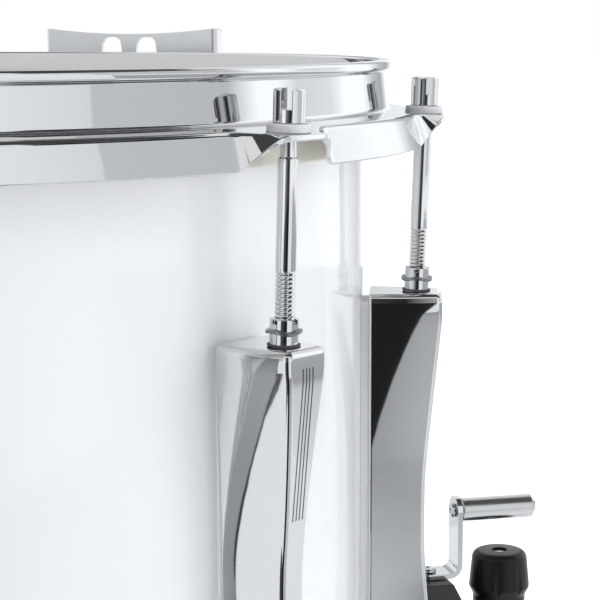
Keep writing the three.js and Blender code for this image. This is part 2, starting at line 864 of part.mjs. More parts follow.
// Clamp: hangs on the screw, runs on the two guides and holds the strap against its plate.
function clampBody() {
  const bossBack = clampFace + clampWall / 2;
  const narrow = clampBossHalfWidth;
  const wide = clampHalfWidth;
  let body = box(bossBack, tableReach, -narrow, narrow, clampBossBottom, clampTop);
  body = body.add(box(clampFace, clampFace + clampWall, -wide, wide, clampBottom, clampTop));
  body = body.subtract(screwBore(clampBottom, clampTop));
  for (const side of [-1, 1]) {
    const y = side * guideSpread;
    const guideBore = guideDiameter + 2 * runningGap;
    const bore = bar(guideBore, clampBottom - overrun, clampTop + overrun, boreSides, guideRadius, y);
    body = body.subtract(bore);
    const holeEnd = clampFace + clampWall + overrun;
    body = body.subtract(clampScrewHole(side, clampFace - overrun, holeEnd, clampScrewHeight));
  }
  return body;
}

function clampScrewHole(side, x0, x1, height) {
  return crossBar(clampScrewDiameter + 2 * fitGap, x0, x1, side * clampScrewSpread, height, boreSides);
}

// Inner jaw of the clamp, with the two screws that pull it against the strap.
function clampPlateBody() {
  const front = clampFace - strapThickness - 2 * fitGap;
  const seat = clampFace + clampWall + fitGap;
  let body = box(front - clampPlate, front, -clampHalfWidth, clampHalfWidth, clampBottom, clampPlateTop);
  for (const side of [-1, 1]) {
    const y = side * clampScrewSpread;
    const shaftEnd = seat + clampScrewThickness / 2;
    const shaftStart = front - clampPlate / 2;
    body = body.add(crossBar(clampScrewDiameter, shaftStart, shaftEnd, y, clampScrewHeight, boreSides));
    body = body.add(crossBar(clampScrewHead, seat, seat + clampScrewThickness, y, clampScrewHeight));
  }
  return body;
}

// Outer jaw of the butt, with the two screws that hold it to the block.
function buttPlateBody() {
  const back = buttFace + strapThickness + 2 * fitGap;
  const seat = back + clampPlate;
  let body = box(back, seat, -clampHalfWidth, clampHalfWidth, buttBottom + buttMargin, jawTop);
  for (const side of [-1, 1]) {
    const y = side * clampScrewSpread;
    const shaftStart = buttFace - buttScrewDepth + fitGap;
    body = body.add(crossBar(clampScrewDiameter, shaftStart, seat, y, jawScrewHeight, boreSides));
    const headStart = seat - clampPlate / 2;
    body = body.add(crossBar(clampScrewHead, headStart, seat + clampScrewThickness, y, jawScrewHeight));
  }
  return body;
}

// Strap: a thin band from the snares, out through the gate in the hoop and up to a clamp.
function strapBody(clampAt, strapTop) {
  const run = headHeight - snareGap - endPlateThickness;
  const centre = [
    [strandHalfLength - endPlateLength, run - fitGap - strapThickness / 2],
    [collarFootRadius, run],
    [skirtFootRadius + overrun, gateTop - 3 * overrun],
    [clampAt, gateTop + 3 * overrun],
    [clampAt, strapTop],
  ];
  const rings = centre.map(([x, z], i) => {
    const [px, pz] = centre[Math.max(i - 1, 0)];
    const [nx, nz] = centre[Math.min(i + 1, centre.length - 1)];
    const length = Math.hypot(nx - px, nz - pz);
    const ox = (-(nz - pz) / length) * (strapThickness / 2);
    const oz = ((nx - px) / length) * (strapThickness / 2);
    return [
      new THREE.Vector3(x + ox, -strapHalfWidth, z + oz),
      new THREE.Vector3(x + ox, strapHalfWidth, z + oz),
      new THREE.Vector3(x - ox, strapHalfWidth, z - oz),
      new THREE.Vector3(x - ox, -strapHalfWidth, z - oz),
    ];
  });
  return loft(rings, false);
}

// Snares: cable strands between two end plates, under the snare-side head.
function snaresBody() {
  const top = headHeight - snareGap;
  const foot = top - endPlateThickness;
  const middle = (top + foot) / 2;
  let body = null;
  for (const side of [-1, 1]) {
    const near = strandHalfLength - endPlateLength;
    const x0 = side > 0 ? near : -strandHalfLength;
    const x1 = side > 0 ? strandHalfLength : -near;
    const plate = box(x0, x1, -endPlateHalfWidth, endPlateHalfWidth, foot, top);
    body = body ? body.add(plate) : plate;
  }
  const inside = strandHalfLength - endPlateLength / 2;
  for (let i = 0; i < strandCount; i++) {
    const y = (i - (strandCount - 1) / 2) * strandPitch;
    body = body.add(crossBar(strandDiameter, -inside, inside, y, middle, 4));
  }
  return body;
}

// Butt: a plain block on the shell whose jaw grips the other strap.
function buttBody() {
  const outline = [
    [shellRadius - overrun, buttTop],
    [buttFace - buttBevel, buttTop],
    [buttFace, buttTop - buttBevel],
    [buttFace, buttBottom],
    [shellRadius - overrun, buttBottom],
  ];
  const profile = extrude(outline, 2 * buttHalfWidth);
  let body = solid(profile.rotateX(Math.PI / 2).translate(0, buttHalfWidth, 0));
  body = body.subtract(shellSeat(buttBottom, buttTop));
  for (const side of [-1, 1]) {
    const holeStart = buttFace - buttScrewDepth;
    body = body.subtract(clampScrewHole(side, holeStart, buttFace + overrun, jawScrewHeight));
  }
  return body;
}

// Carrier plate: a pressed plate outside the hoop, its top dished and its sides turned outwards,
// with two windows for hooks.
function plateOutline() {
  const half = plateHalfWidth;
  const top = drumHeight + plateEndRise;
  const middle = drumHeight + plateMiddleRise;
  const foot = drumHeight - plateBottomDrop;
  const shape = new THREE.Shape();
  shape.moveTo(-half + plateRound, foot);
  shape.lineTo(half - plateRound, foot);
  shape.quadraticCurveTo(half, foot, half, foot + plateRound);
  shape.lineTo(half, top - plateRound / 2);
  shape.quadraticCurveTo(half, top, half - plateRound / 2, top);
  shape.quadraticCurveTo(0, 2 * middle - top, -half + plateRound / 2, top);
  shape.quadraticCurveTo(-half, top, -half, top - plateRound / 2);
  shape.lineTo(-half, foot + plateRound);
  shape.quadraticCurveTo(-half, foot, -half + plateRound, foot);
  return shape;
}

function plateWindow(side) {
  const y = side * windowSpread;
  const top = drumHeight + windowRise;
  const foot = drumHeight - windowDrop;
  const path = new THREE.Path();
  path.moveTo(y - windowFootHalfWidth, foot + windowRound);
  path.lineTo(y - windowTopHalfWidth, top - windowRound);
  path.quadraticCurveTo(y - windowTopHalfWidth, top, y - windowTopHalfWidth + windowRound, top);
  path.lineTo(y + windowTopHalfWidth - windowRound, top);
  path.quadraticCurveTo(y + windowTopHalfWidth, top, y + windowTopHalfWidth, top - windowRound);
  path.lineTo(y + windowFootHalfWidth, foot + windowRound);
  path.quadraticCurveTo(y + windowFootHalfWidth, foot, y + windowFootHalfWidth - windowRound, foot);
  path.lineTo(y - windowFootHalfWidth + windowRound, foot);
  path.quadraticCurveTo(y - windowFootHalfWidth, foot, y - windowFootHalfWidth, foot + windowRound);
  return path;
}

function plateBody() {
  const face = extrude(plateOutline(), plateThickness, [plateWindow(-1), plateWindow(1)], 3);
  face.rotateX(Math.PI / 2).rotateZ(Math.PI / 2);
  let body = solid(face.translate(plateDistance, 0, 0));
  const foot = drumHeight - plateBottomDrop + plateRound;
  const top = drumHeight + plateEndRise - plateRound / 2;
  for (const side of [-1, 1]) {
    const y0 = side > 0 ? plateHalfWidth - plateThickness : -plateHalfWidth;
    body = body.add(box(plateDistance, plateDistance + plateFlange, y0, y0 + plateThickness, foot, top));
    const bore = plateScrewDiameter + 2 * fitGap;
    const across = side * plateScrewSpread;
    const down = drumHeight - plateScrewDrop;
    const front = plateDistance + 2 * plateThickness;
    const hole = crossBar(bore, plateDistance - overrun, front, across, down, boreSides);
    body = body.subtract(hole);
  }
  return body;
}

// Screw and sleeve that hold the carrier plate off the shell, at one side of the plate.
function plateScrewBody(side) {
  const y = side * plateScrewSpread;
  const z = drumHeight - plateScrewDrop;
  const nearest = plateScrewSpread - plateSleeve / 2;
  const seat = Math.sqrt(shellRadius ** 2 - nearest ** 2) + fitGap;
  const plateFront = plateDistance + plateThickness;
  const sleeve = crossBar(plateSleeve, seat, plateDistance - fitGap, y, z);
  const shaftEnd = plateFront + fitGap + plateThickness / 2;
  const shaft = crossBar(plateScrewDiameter, seat, shaftEnd, y, z, boreSides);
  const head = crossBar(plateScrewHead, plateFront + fitGap, plateFront + fitGap + plateThickness, y, z);
  return sleeve.add(shaft).add(head);
}

const drum = new THREE.Group();
const rod = rodBody();
const lug = lugBody();
const head = headBody();

drum.add(piece("shell", shellBody(), whiteLacquer));
drum.add(piece("batter_hoop", flipped(hoopBody()), chrome));
drum.add(piece("snare_hoop", snareHoop(), chrome));
drum.add(piece("batter_head", flipped(head), whiteFilm));
drum.add(piece("snare_head", head, whiteFilm));
drum.add(station(ventAzimuth, piece("vent_grommet", ventBody(), chrome)));

rodAzimuths.forEach((azimuth, i) => {
  const number = String(i + 1).padStart(2, "0");
  drum.add(
    station(
      azimuth,
      piece(`lug_${number}`, lug, chrome),
      atRod(true, piece(`batter_rod_${number}`, rod, chrome)),
      atRod(false, piece(`snare_rod_${number}`, rod, chrome)),
    ),
  );
});

const clampStrap = clampFace - fitGap - strapThickness / 2;
const buttStrap = buttFace + fitGap + strapThickness / 2;
drum.add(
  station(
    strainerAzimuth,
    piece("strainer_body", strainerBody(), blackCasting),
    piece("strainer_lever", leverBody(), chrome),
    piece("lever_screw", leverScrewBody(), chrome),
    piece("lever_grip", gripBody(), chrome),
    piece("grip_pin", gripPinBody(), chrome),
    piece("strainer_yoke", yokeBody(), blackCasting),
    piece("tension_knob", knobBody(), blackPlastic),
    piece("snare_clamp", clampBody(), blackCasting),
    piece("snare_clamp_plate", clampPlateBody(), chrome),
    piece("strainer_strap", strapBody(clampStrap, clampPlateTop), clearStrap),
  ),
);
drum.add(
  station(
    buttAzimuth,
    piece("butt_body", buttBody(), blackCasting),
    piece("butt_plate", buttPlateBody(), chrome),
    piece("butt_strap", strapBody(buttStrap, jawTop), clearStrap),
  ),
);
drum.add(piece("snares", snaresBody(), steelCable));
drum.add(
  station(
    plateAzimuth,
    piece("carrier_plate", plateBody(), chrome),
    piece("carrier_screw_left", plateScrewBody(-1), chrome),
    piece("carrier_screw_right", plateScrewBody(1), chrome),
  ),
);

// The drum's axis is set off from the origin, which is the middle of the whole part's plan.
const strainerReach = armFace + runningGap + gripLength + fitGap + pinHeadThickness;
const buttReach = buttFace + strapThickness + 2 * fitGap + clampPlate + clampScrewThickness;
drum.position.x = (buttReach - strainerReach) / 2;

export default drum;
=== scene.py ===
import math

import bpy
from mathutils import Matrix, Vector


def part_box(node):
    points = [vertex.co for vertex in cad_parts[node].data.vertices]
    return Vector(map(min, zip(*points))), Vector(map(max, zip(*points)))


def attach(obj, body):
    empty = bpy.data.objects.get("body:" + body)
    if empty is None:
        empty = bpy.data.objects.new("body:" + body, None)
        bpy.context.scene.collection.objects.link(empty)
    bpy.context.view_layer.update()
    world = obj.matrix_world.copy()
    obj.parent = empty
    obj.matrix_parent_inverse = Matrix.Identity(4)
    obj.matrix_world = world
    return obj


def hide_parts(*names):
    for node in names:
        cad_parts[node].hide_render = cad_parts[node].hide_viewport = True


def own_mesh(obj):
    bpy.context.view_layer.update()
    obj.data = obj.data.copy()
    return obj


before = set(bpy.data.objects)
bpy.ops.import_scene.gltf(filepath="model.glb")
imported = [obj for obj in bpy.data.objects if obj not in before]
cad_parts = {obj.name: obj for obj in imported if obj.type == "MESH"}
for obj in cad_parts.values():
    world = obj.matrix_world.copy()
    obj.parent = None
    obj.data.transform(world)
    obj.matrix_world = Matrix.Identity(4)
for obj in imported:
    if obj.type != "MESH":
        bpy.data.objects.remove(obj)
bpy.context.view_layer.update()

# The drum stands upright. Its own axis is parallel to Z, and heights on the batter side are given as a
# depth below the batter hoop's lip. Reaches are distances beyond the outside of the shell.
MM = 0.001
shell_low, shell_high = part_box("shell")
axis_x = (shell_low.x + shell_high.x) / 2
shell_radius = (shell_high.y - shell_low.y) / 2 / MM
drum_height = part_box("batter_hoop")[1].z / MM
middle = drum_height / 2
rod_count = 10
rod_azimuths = [math.radians(360 / rod_count * (i + 0.5)) for i in range(rod_count)]
plate_azimuth = rod_azimuths[1]
vent_azimuth = math.radians(108)
butt_azimuth = math.pi
full_turn = 2 * math.pi

# Camera
camera_data = bpy.data.cameras.new("camera")
camera_data.lens = 110.34
camera_data.sensor_width = 36
camera_data.clip_start = 0.01
camera = bpy.data.objects.new("camera", camera_data)
bpy.context.scene.collection.objects.link(camera)
bpy.context.scene.camera = camera
camera_yaw = math.radians(13.99)
camera_pitch = math.radians(-8.49)
camera_roll = math.radians(-0.10)
forward = Vector((
    math.sin(camera_yaw) * math.cos(camera_pitch),
    math.cos(camera_yaw) * math.cos(camera_pitch),
    math.sin(camera_pitch),
))
level = Vector((math.cos(camera_yaw), -math.sin(camera_yaw), 0))
lift = level.cross(forward)
right = math.cos(camera_roll) * level + math.sin(camera_roll) * lift
up = -math.sin(camera_roll) * level + math.cos(camera_roll) * lift
camera_place = Vector((axis_x - 0.007, -0.671, drum_height * MM + 0.0115))
camera.matrix_world = Matrix.Translation(camera_place) @ Matrix((right, up, -forward)).transposed().to_4x4()


# Outlines


def rounded(corners, steps=4):
    """A closed outline of (x, y, radius) corners, each turned into an arc of steps + 1 points."""
    points = []
    for i, (x, y, radius) in enumerate(corners):
        here = Vector((x, y))
        before = Vector(corners[i - 1][:2]) - here
        after = Vector(corners[(i + 1) % len(corners)][:2]) - here
        half = before.angle(after) / 2
        reach = min(radius / math.tan(half), 0.48 * before.length, 0.48 * after.length)
        start = here + before.normalized() * reach
        end = here + after.normalized() * reach
        toward = (before.normalized() + after.normalized()).normalized()
        centre = here + toward * (reach / math.cos(half))
        first = start - centre
        turn = first.angle_signed(end - centre)
        for k in range(steps + 1):
            arm = first.copy()
            arm.rotate(Matrix.Rotation(-turn * k / steps, 2))
            points.append(tuple(centre + arm))
    return points


def between(a, b, share):
    return a + (b - a) * share


def eased_share(value):
    """0 below 0 and 1 above 1, with a smooth rise between."""
    share = min(max(value, 0), 1)
    return share * share * (3 - 2 * share)


# Making


def deselect():
    bpy.ops.object.select_all(action="DESELECT")


def take(piece):
    deselect()
    piece.select_set(True)
    bpy.context.view_layer.objects.active = piece


def named(name):
    piece = bpy.context.object
    piece.name = name
    piece.data.name = name
    return piece


def settle(piece, flatten=False):
    """Merges what coincides, drops what is loose and turns the faces outwards."""
    take(piece)
    bpy.ops.object.mode_set(mode="EDIT")
    bpy.ops.mesh.select_all(action="SELECT")
    bpy.ops.mesh.remove_doubles(threshold=0.002 * MM)
    bpy.ops.mesh.delete_loose()
    bpy.ops.mesh.select_all(action="SELECT")
    if flatten:
        bpy.ops.mesh.dissolve_limited(angle_limit=math.radians(1))
        bpy.ops.mesh.select_all(action="SELECT")
    bpy.ops.mesh.normals_make_consistent(inside=False)
    bpy.ops.object.mode_set(mode="OBJECT")
    return piece


def prism(name, outline, depth):
    """A straight body: an outline of (x, y) points, given its depth along Z."""
    deselect()
    bpy.ops.mesh.primitive_circle_add(vertices=len(outline), fill_type="NGON")
    piece = named(name)
    for corner, (x, y) in zip(piece.data.vertices, outline):
        corner.co = (x * MM, y * MM, 0)
    bpy.ops.object.mode_set(mode="EDIT")
    bpy.ops.mesh.select_all(action="SELECT")
    bpy.ops.mesh.extrude_region_move(TRANSFORM_OT_translate={"value": (0, 0, depth * MM)})
    bpy.ops.object.mode_set(mode="OBJECT")
    return settle(piece)


def spun(name, outline, sides):
    """A turned body: a closed outline of (radius, height) points, spun about Z."""
    deselect()
    bpy.ops.mesh.primitive_circle_add(vertices=len(outline))
    piece = named(name)
    for corner, (radius, height) in zip(piece.data.vertices, outline):
        corner.co = (radius * MM, 0, height * MM)
    bpy.ops.object.mode_set(mode="EDIT")
    bpy.ops.mesh.select_all(action="SELECT")
    bpy.ops.mesh.spin(steps=sides, angle=full_turn, center=(0, 0, 0), axis=(0, 0, 1))
    bpy.ops.object.mode_set(mode="OBJECT")
    return settle(piece)


def woven(name, columns, rows, place):
    """A skin of columns by rows, with each corner where place puts it."""
    deselect()
    bpy.ops.mesh.primitive_grid_add(x_subdivisions=columns, y_subdivisions=rows, size=1)
    piece = named(name)
    for corner in piece.data.vertices:
        column = round((corner.co.x + 0.5) * columns)
        row = round((corner.co.y + 0.5) * rows)
        x, y, z = place(column, row)
        corner.co = (x * MM, y * MM, z * MM)
    return settle(piece)


def block(name, low, high):
    """A box between two corners."""
    outline = [(low[0], low[1]), (high[0], low[1]), (high[0], high[1]), (low[0], high[1])]
    return placed(prism(name, outline, high[2] - low[2]), shift(0, 0, low[2]))


def shift(x, y, z):
    return Matrix.Translation((x * MM, y * MM, z * MM))


def turn(angle, axis):
    return Matrix.Rotation(angle, 4, axis)


def placed(piece, matrix):
    """Puts a piece somewhere by its mesh, so that the object itself stays at the origin."""
    piece.data.transform(matrix)
    if matrix.determinant() < 0:
        piece.data.flip_normals()
    return piece


def copied(piece, name):
    other = bpy.data.objects.new(name, piece.data.copy())
    other.data.name = name
    bpy.context.scene.collection.objects.link(other)
    return other


def joined(piece, *others):
    take(piece)
    for other in others:
        other.select_set(True)
    bpy.ops.object.join()
    return piece


def cut(piece, cutter, operation="DIFFERENCE"):
    take(piece)
    change = piece.modifiers.new("cut", "BOOLEAN")
    change.operation = operation
    change.solver = "EXACT"
    change.object = cutter
    bpy.ops.object.modifier_apply(modifier=change.name)
    bpy.data.objects.remove(cutter)
    return piece


def bevelled(piece, width, segments=3, angle=30):
    take(piece)
    change = piece.modifiers.new("bevel", "BEVEL")
    change.width = width * MM
    change.segments = segments
    change.limit_method = "ANGLE"
    change.angle_limit = math.radians(angle)
    bpy.ops.object.modifier_apply(modifier=change.name)
    return piece


def remade(node, name):
    """A copy of a cast or cut piece, as whole faces in place of loose triangles."""
    piece = bpy.data.objects.new(name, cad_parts[node].data.copy())
    bpy.context.scene.collection.objects.link(piece)
    return settle(piece, flatten=True)


def done(piece, material, slot, body, *nodes, smooth=30):
    """Gives a piece its finish, the body that it moves with and the nodes that it stands for."""
    take(piece)
    bpy.ops.object.shade_smooth_by_angle(angle=math.radians(smooth))
    even = piece.modifiers.new("even", "WEIGHTED_NORMAL")
    even.keep_sharp = True
    bpy.ops.object.modifier_apply(modifier=even.name)
    piece.data.materials.clear()
    piece.data.materials.append(material)
    if nodes:
        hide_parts(*nodes)
    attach(piece, body)
    return piece


def station(azimuth):
    return shift(axis_x / MM, 0, 0) @ turn(azimuth, "Z")


# Finishes


class Value:
    """One value in a material, open to Python arithmetic."""

    def __init__(self, finish, socket):
        self.finish = finish
        self.socket = socket

    def combine(self, operation, first, second):
        made = self.finish.node("ShaderNodeMath", {"operation": operation}, {0: first, 1: second})
        return made

    def __add__(self, other):
        return self.combine("ADD", self, other)

    def __radd__(self, other):
        return self.combine("ADD", other, self)

    def __sub__(self, other):
        return self.combine("SUBTRACT", self, other)

    def __rsub__(self, other):
        return self.combine("SUBTRACT", other, self)

    def __mul__(self, other):
        return self.combine("MULTIPLY", self, other)

    def __rmul__(self, other):
        return self.combine("MULTIPLY", other, self)

    def __truediv__(self, other):
        return self.combine("DIVIDE", self, other)

    def __gt__(self, other):
        return self.combine("GREATER_THAN", self, other)

    def __lt__(self, other):
        return self.combine("LESS_THAN", self, other)


class Finish:
    """A material whose nodes are laid out one by one."""

    def __init__(self, name):
        self.material = bpy.data.materials.new(name)
        self.material.use_nodes = True
        self.tree = self.material.node_tree
        self.surface = self.tree.nodes["Principled BSDF"]

    def put(self, socket, value):
        if isinstance(value, Value):
            self.tree.links.new(value.socket, socket)
        else:
            socket.default_value = value

    def node(self, kind, settings=None, sockets=None, output=0):
        made = self.tree.nodes.new(kind)
        for key, value in (settings or {}).items():
            setattr(made, key, value)
        for key, value in (sockets or {}).items():
            self.put(made.inputs[key], value)
        return Value(self, made.outputs[output])

    def place(self):
        return self.node("ShaderNodeTexCoord", output="Object")

    def noise(self, scale, detail=2, roughness=0.5, vector=None):
        sockets = {"Scale": scale, "Detail": detail, "Roughness": roughness, "Vector": vector or self.place()}
        return self.node("ShaderNodeTexNoise", {}, sockets)

    def mix(self, share, first, second):
        settings = {"data_type": "RGBA"}
        made = self.node("ShaderNodeMix", settings, output=2)
        node = made.socket.node
        self.put(node.inputs[0], share)
        self.put(node.inputs[6], first)
        self.put(node.inputs[7], second)
        return made

    def bump(self, height, strength, distance):
        sockets = {"Height": height, "Strength": strength, "Distance": distance}
        return self.node("ShaderNodeBump", {}, sockets)

    def set(self, **values):
        for key, value in values.items():
            self.put(self.surface.inputs[key.replace("_", " ")], value)
        return self.material


def grey(level, blue=0.0):
    return (level, level + blue / 2, level + blue, 1)


def make_chrome(name, level=0.67, polish=0.035, ripple=0.04):
    finish = Finish(name)
    haze = finish.noise(38, 3)
    cloud = finish.noise(900, 2)
    colour = finish.mix(haze, grey(level - 0.02, 0.015), grey(level + 0.02, 0.01))
    return finish.set(
        Base_Color=colour,
        Metallic=1.0,
        Roughness=polish + cloud * 0.025,
        Normal=finish.bump(finish.noise(95, 2), ripple, 0.0004),
    )


def make_lacquer():
    finish = Finish("white_lacquer")
    peel = finish.noise(1400, 2)
    cloud = finish.noise(9, 2)
    colour = finish.mix(cloud, (0.865, 0.88, 0.9, 1), (0.885, 0.9, 0.92, 1))
    return finish.set(
        Base_Color=colour,
        Roughness=0.3 + cloud * 0.05,
        Coat_Weight=1.0,
        Coat_Roughness=0.035,
        Normal=finish.bump(peel, 0.03, 0.0002),
    )


def make_film():
    finish = Finish("coated_film")
    tooth = finish.noise(5200, 3, 0.7)
    cloud = finish.noise(14, 3)
    colour = finish.mix(cloud, (0.82, 0.82, 0.805, 1), (0.88, 0.88, 0.87, 1))
    return finish.set(Base_Color=colour, Roughness=0.5 + cloud * 0.15, Normal=finish.bump(tooth, 0.35, 0.0002))


def make_clear_film():
    finish = Finish("clear_film")
    cloud = finish.noise(20, 2)
    colour = finish.mix(cloud, (0.88, 0.89, 0.9, 1), (0.93, 0.935, 0.94, 1))
    return finish.set(Base_Color=colour, Roughness=0.18 + cloud * 0.08, Alpha=0.45 + cloud * 0.1)


def make_cream(name, light, dark):
    finish = Finish(name)
    grain = finish.noise(260, 4, 0.6)
    colour = finish.mix(grain, dark, light)
    return finish.set(Base_Color=colour, Roughness=0.38 + grain * 0.15, Normal=finish.bump(grain, 0.1, 0.0003))


def make_black(name, level, rough, grain_scale, grain_strength, shine=0.5):
    finish = Finish(name)
    grain = finish.noise(grain_scale, 3, 0.6)
    cloud = finish.noise(45, 2)
    colour = finish.mix(cloud, grey(level * 0.8, level * 0.1), grey(level * 1.25, level * 0.1))
    return finish.set(
        Base_Color=colour,
        Specular_IOR_Level=shine,
        Roughness=rough + cloud * 0.12,
        Normal=finish.bump(grain, grain_strength, 0.0002),
    )


def make_brushed():
    finish = Finish("brushed_roller")
    parts = finish.node("ShaderNodeMapping", {}, {"Vector": finish.place(), "Scale": (6, 1800, 1800)})
    lines = finish.noise(1, 3, 0.7, vector=parts)
    colour = finish.mix(lines, (0.45, 0.45, 0.46, 1), (0.74, 0.74, 0.73, 1))
    return finish.set(
        Base_Color=colour,
        Metallic=1.0,
        Roughness=0.16 + lines * 0.16,
        Normal=finish.bump(lines, 0.12, 0.0002),
    )


def make_cable():
    finish = Finish("snare_cable")
    slanted = finish.node(
        "ShaderNodeMapping", {}, {"Vector": finish.place(), "Rotation": (0, 0, math.radians(38))}
    )
    strands = finish.node(
        "ShaderNodeTexWave", {"wave_type": "BANDS", "bands_direction": "X"}, {"Vector": slanted, "Scale": 420}
    )
    # The colour is darker in the grooves between the wound strands, where the bump dips: painted shade in the
    # grooves.
    colour = finish.mix(strands, (0.35, 0.35, 0.36, 1), (0.78, 0.78, 0.79, 1))
    return finish.set(
        Base_Color=colour, Metallic=1.0, Roughness=0.26 + strands * 0.12, Normal=finish.bump(strands, 0.6, 0.0003)
    )


def make_strap():
    finish = Finish("clear_strap")
    cloud = finish.noise(70, 2)
    colour = finish.mix(cloud, (0.82, 0.84, 0.86, 1), (0.9, 0.91, 0.92, 1))
    return finish.set(Base_Color=colour, Roughness=0.22 + cloud * 0.1, Alpha=0.7 + cloud * 0.1)


chrome = make_chrome("chrome")
plate_chrome = make_chrome("plate_chrome", 0.75, 0.3)
nut_steel = make_chrome("nut_steel", 0.61, 0.14)
dark_steel = make_chrome("dark_steel", 0.25, 0.3)
lacquer = make_lacquer()
film = make_film()
clear_film = make_clear_film()
flesh_resin = make_cream("flesh_resin", (0.86, 0.83, 0.74, 1), (0.76, 0.73, 0.63, 1))
nylon = make_cream("washer_nylon", (0.8, 0.81, 0.82, 1), (0.62, 0.63, 0.63, 1))
casting = make_black("black_casting", 0.014, 0.34, 2600, 0.25)
moulding = make_black("black_moulding", 0.007, 0.26, 3200, 0.12, 0.25)
rubber = make_black("seal_rubber", 0.07, 0.6, 1500, 0.2)
gasket_resin = make_cream("gasket_resin", (0.95, 0.955, 0.96, 1), (0.92, 0.925, 0.93, 1))
roller_steel = make_brushed()
cable = make_cable()
strap_film = make_strap()


# Shell: one wall with bearing edges, lowered a little where the snares cross it.
shell_wall = 7.6
edge_drop = 4.4
edge_round = 1.6
shell_foot = shell_low.z / MM
shell_top = shell_high.z / MM
bed_drop = 1.6
bed_half_width = 48
shell_sides = 360
shell_inner = shell_radius - shell_wall
shell_outline = rounded([
    (shell_inner, shell_foot + edge_drop, 0.6),
    (shell_radius - edge_round, shell_foot, 0.8),
    (shell_radius, shell_foot + edge_round, 0.8),
    (shell_radius, shell_top - edge_round, 0.8),
    (shell_radius - edge_round, shell_top, 0.8),
    (shell_inner, shell_top - edge_drop, 0.6),
])
shell = spun("white_shell", shell_outline, shell_sides)
for corner in shell.data.vertices:
    beside = abs(corner.co.y) / MM / bed_half_width
    if beside < 1 and corner.co.z < (shell_foot + edge_drop + edge_round) * MM:
        corner.co.z += bed_drop * (1 - beside ** 2) * MM
vent_hole_radius = 6.4
hole = prism("hole", [(vent_hole_radius * math.cos(a), vent_hole_radius * math.sin(a))
                      for a in (full_turn * i / 48 for i in range(48))], 4 * shell_wall)
placed(hole, turn(vent_azimuth, "Z") @ shift(shell_radius - 2 * shell_wall, 0, middle) @ turn(math.pi / 2, "Y"))
cut(shell, hole)
placed(shell, station(0))
done(shell, lacquer, "white_lacquer", "drum", "shell")

# Vent: a flanged eyelet.
vent_outer = 6.1
vent_bore = 4.9
vent_flange = 10.2
vent_lip = 1.4
vent = spun("vent_eyelet", rounded([
    (vent_bore, -shell_wall - vent_lip, 0.3),
    (vent_outer, -shell_wall - vent_lip, 0.3),
    (vent_outer, 0.3, 0.1),
    (vent_flange, 0.3, 0.5),
    (vent_flange - 1, vent_lip + 0.3, 0.8),
    (vent_bore, vent_lip + 0.3, 1.2),
]), 64)
placed(vent, station(vent_azimuth) @ shift(shell_radius, 0, middle) @ turn(math.pi / 2, "Y"))
done(vent, chrome, "chrome", "drum", "vent_grommet")


# Hoops: pressed sheet with a lip, a collar, a shoulder and a skirt that swings out into an ear at each
# rod. Depths run down from the hoop's own lip, radii are given as reaches beyond the shell.
lip_reach = 10.1
collar_top_reach = 7.4
collar_foot_reach = 8.8
shoulder_reach = 18.6
skirt_reach = 21.5
ear_reach = 28.2
ear_depth = 18.9
ear_half_width = 8
ear_flare = 14
skirt_depth = 29
sheet = 1.9
hoop_columns = 900
hoop_turns = 4
rod_reach = 21.1
ear_hole = 6.8


def hoop_corners(share):
    """The hoop's section as (radius, depth, rounding): 0 on the plain skirt, 1 at an ear."""
    outer_bend = (between(shoulder_reach, 22.2, share), between(17.9, 18.5, share), between(2.2, 3, share))
    outer_foot = (between(skirt_reach, ear_reach, share), between(skirt_depth, ear_depth, share), 0.45)
    inner_foot = (
        between(skirt_reach - sheet, ear_reach, share),
        between(skirt_depth + 0.3, ear_depth + sheet, share),
        0.45,
    )
    inner_bend = (between(16.8, 21, share), between(19.8, ear_depth + sheet, share), between(1.6, 2, share))
    reaches = [
        (collar_top_reach - sheet - 0.4, 0, 1.0),
        (lip_reach, 0, 1.3),
        (lip_reach - 0.45, 3.5, 1.0),
        (collar_top_reach, 3.5, 0.8),
        (collar_foot_reach, 16.6, 1.6),
        outer_bend,
        outer_foot,
        inner_foot,
        inner_bend,
        (collar_foot_reach - sheet - 0.3, 18.5, 1.2),
    ]
    return [(shell_radius + reach, depth, rounding) for reach, depth, rounding in reaches]


def ear_share(angle):
    nearest = min(abs((angle - azimuth + math.pi) % full_turn - math.pi) for azimuth in rod_azimuths)
    along = nearest * (shell_radius + skirt_reach)
    return eased_share((ear_half_width + ear_flare - along) / ear_flare)


def make_hoop(name):
    sections = {}
    rows = 10 * (hoop_turns + 1)

    def place(column, row):
        angle = full_turn * column / hoop_columns
        if column not in sections:
            sections[column] = rounded(hoop_corners(ear_share(angle)), hoop_turns)
        radius, depth = sections[column][row % rows]
        return radius * math.cos(angle), radius * math.sin(angle), drum_height - depth

    piece = woven(name, hoop_columns, rows, place)
    for azimuth in rod_azimuths:
        hole_outline = [(ear_hole / 2 * math.cos(a), ear_hole / 2 * math.sin(a))
                        for a in (full_turn * i / 32 for i in range(32))]
        drill = prism("drill", hole_outline, 4 * sheet)
        where = shift(shell_radius + rod_reach, 0, drum_height - ear_depth - 3 * sheet)
        placed(drill, turn(azimuth, "Z") @ where)
        cut(piece, drill)
    return piece


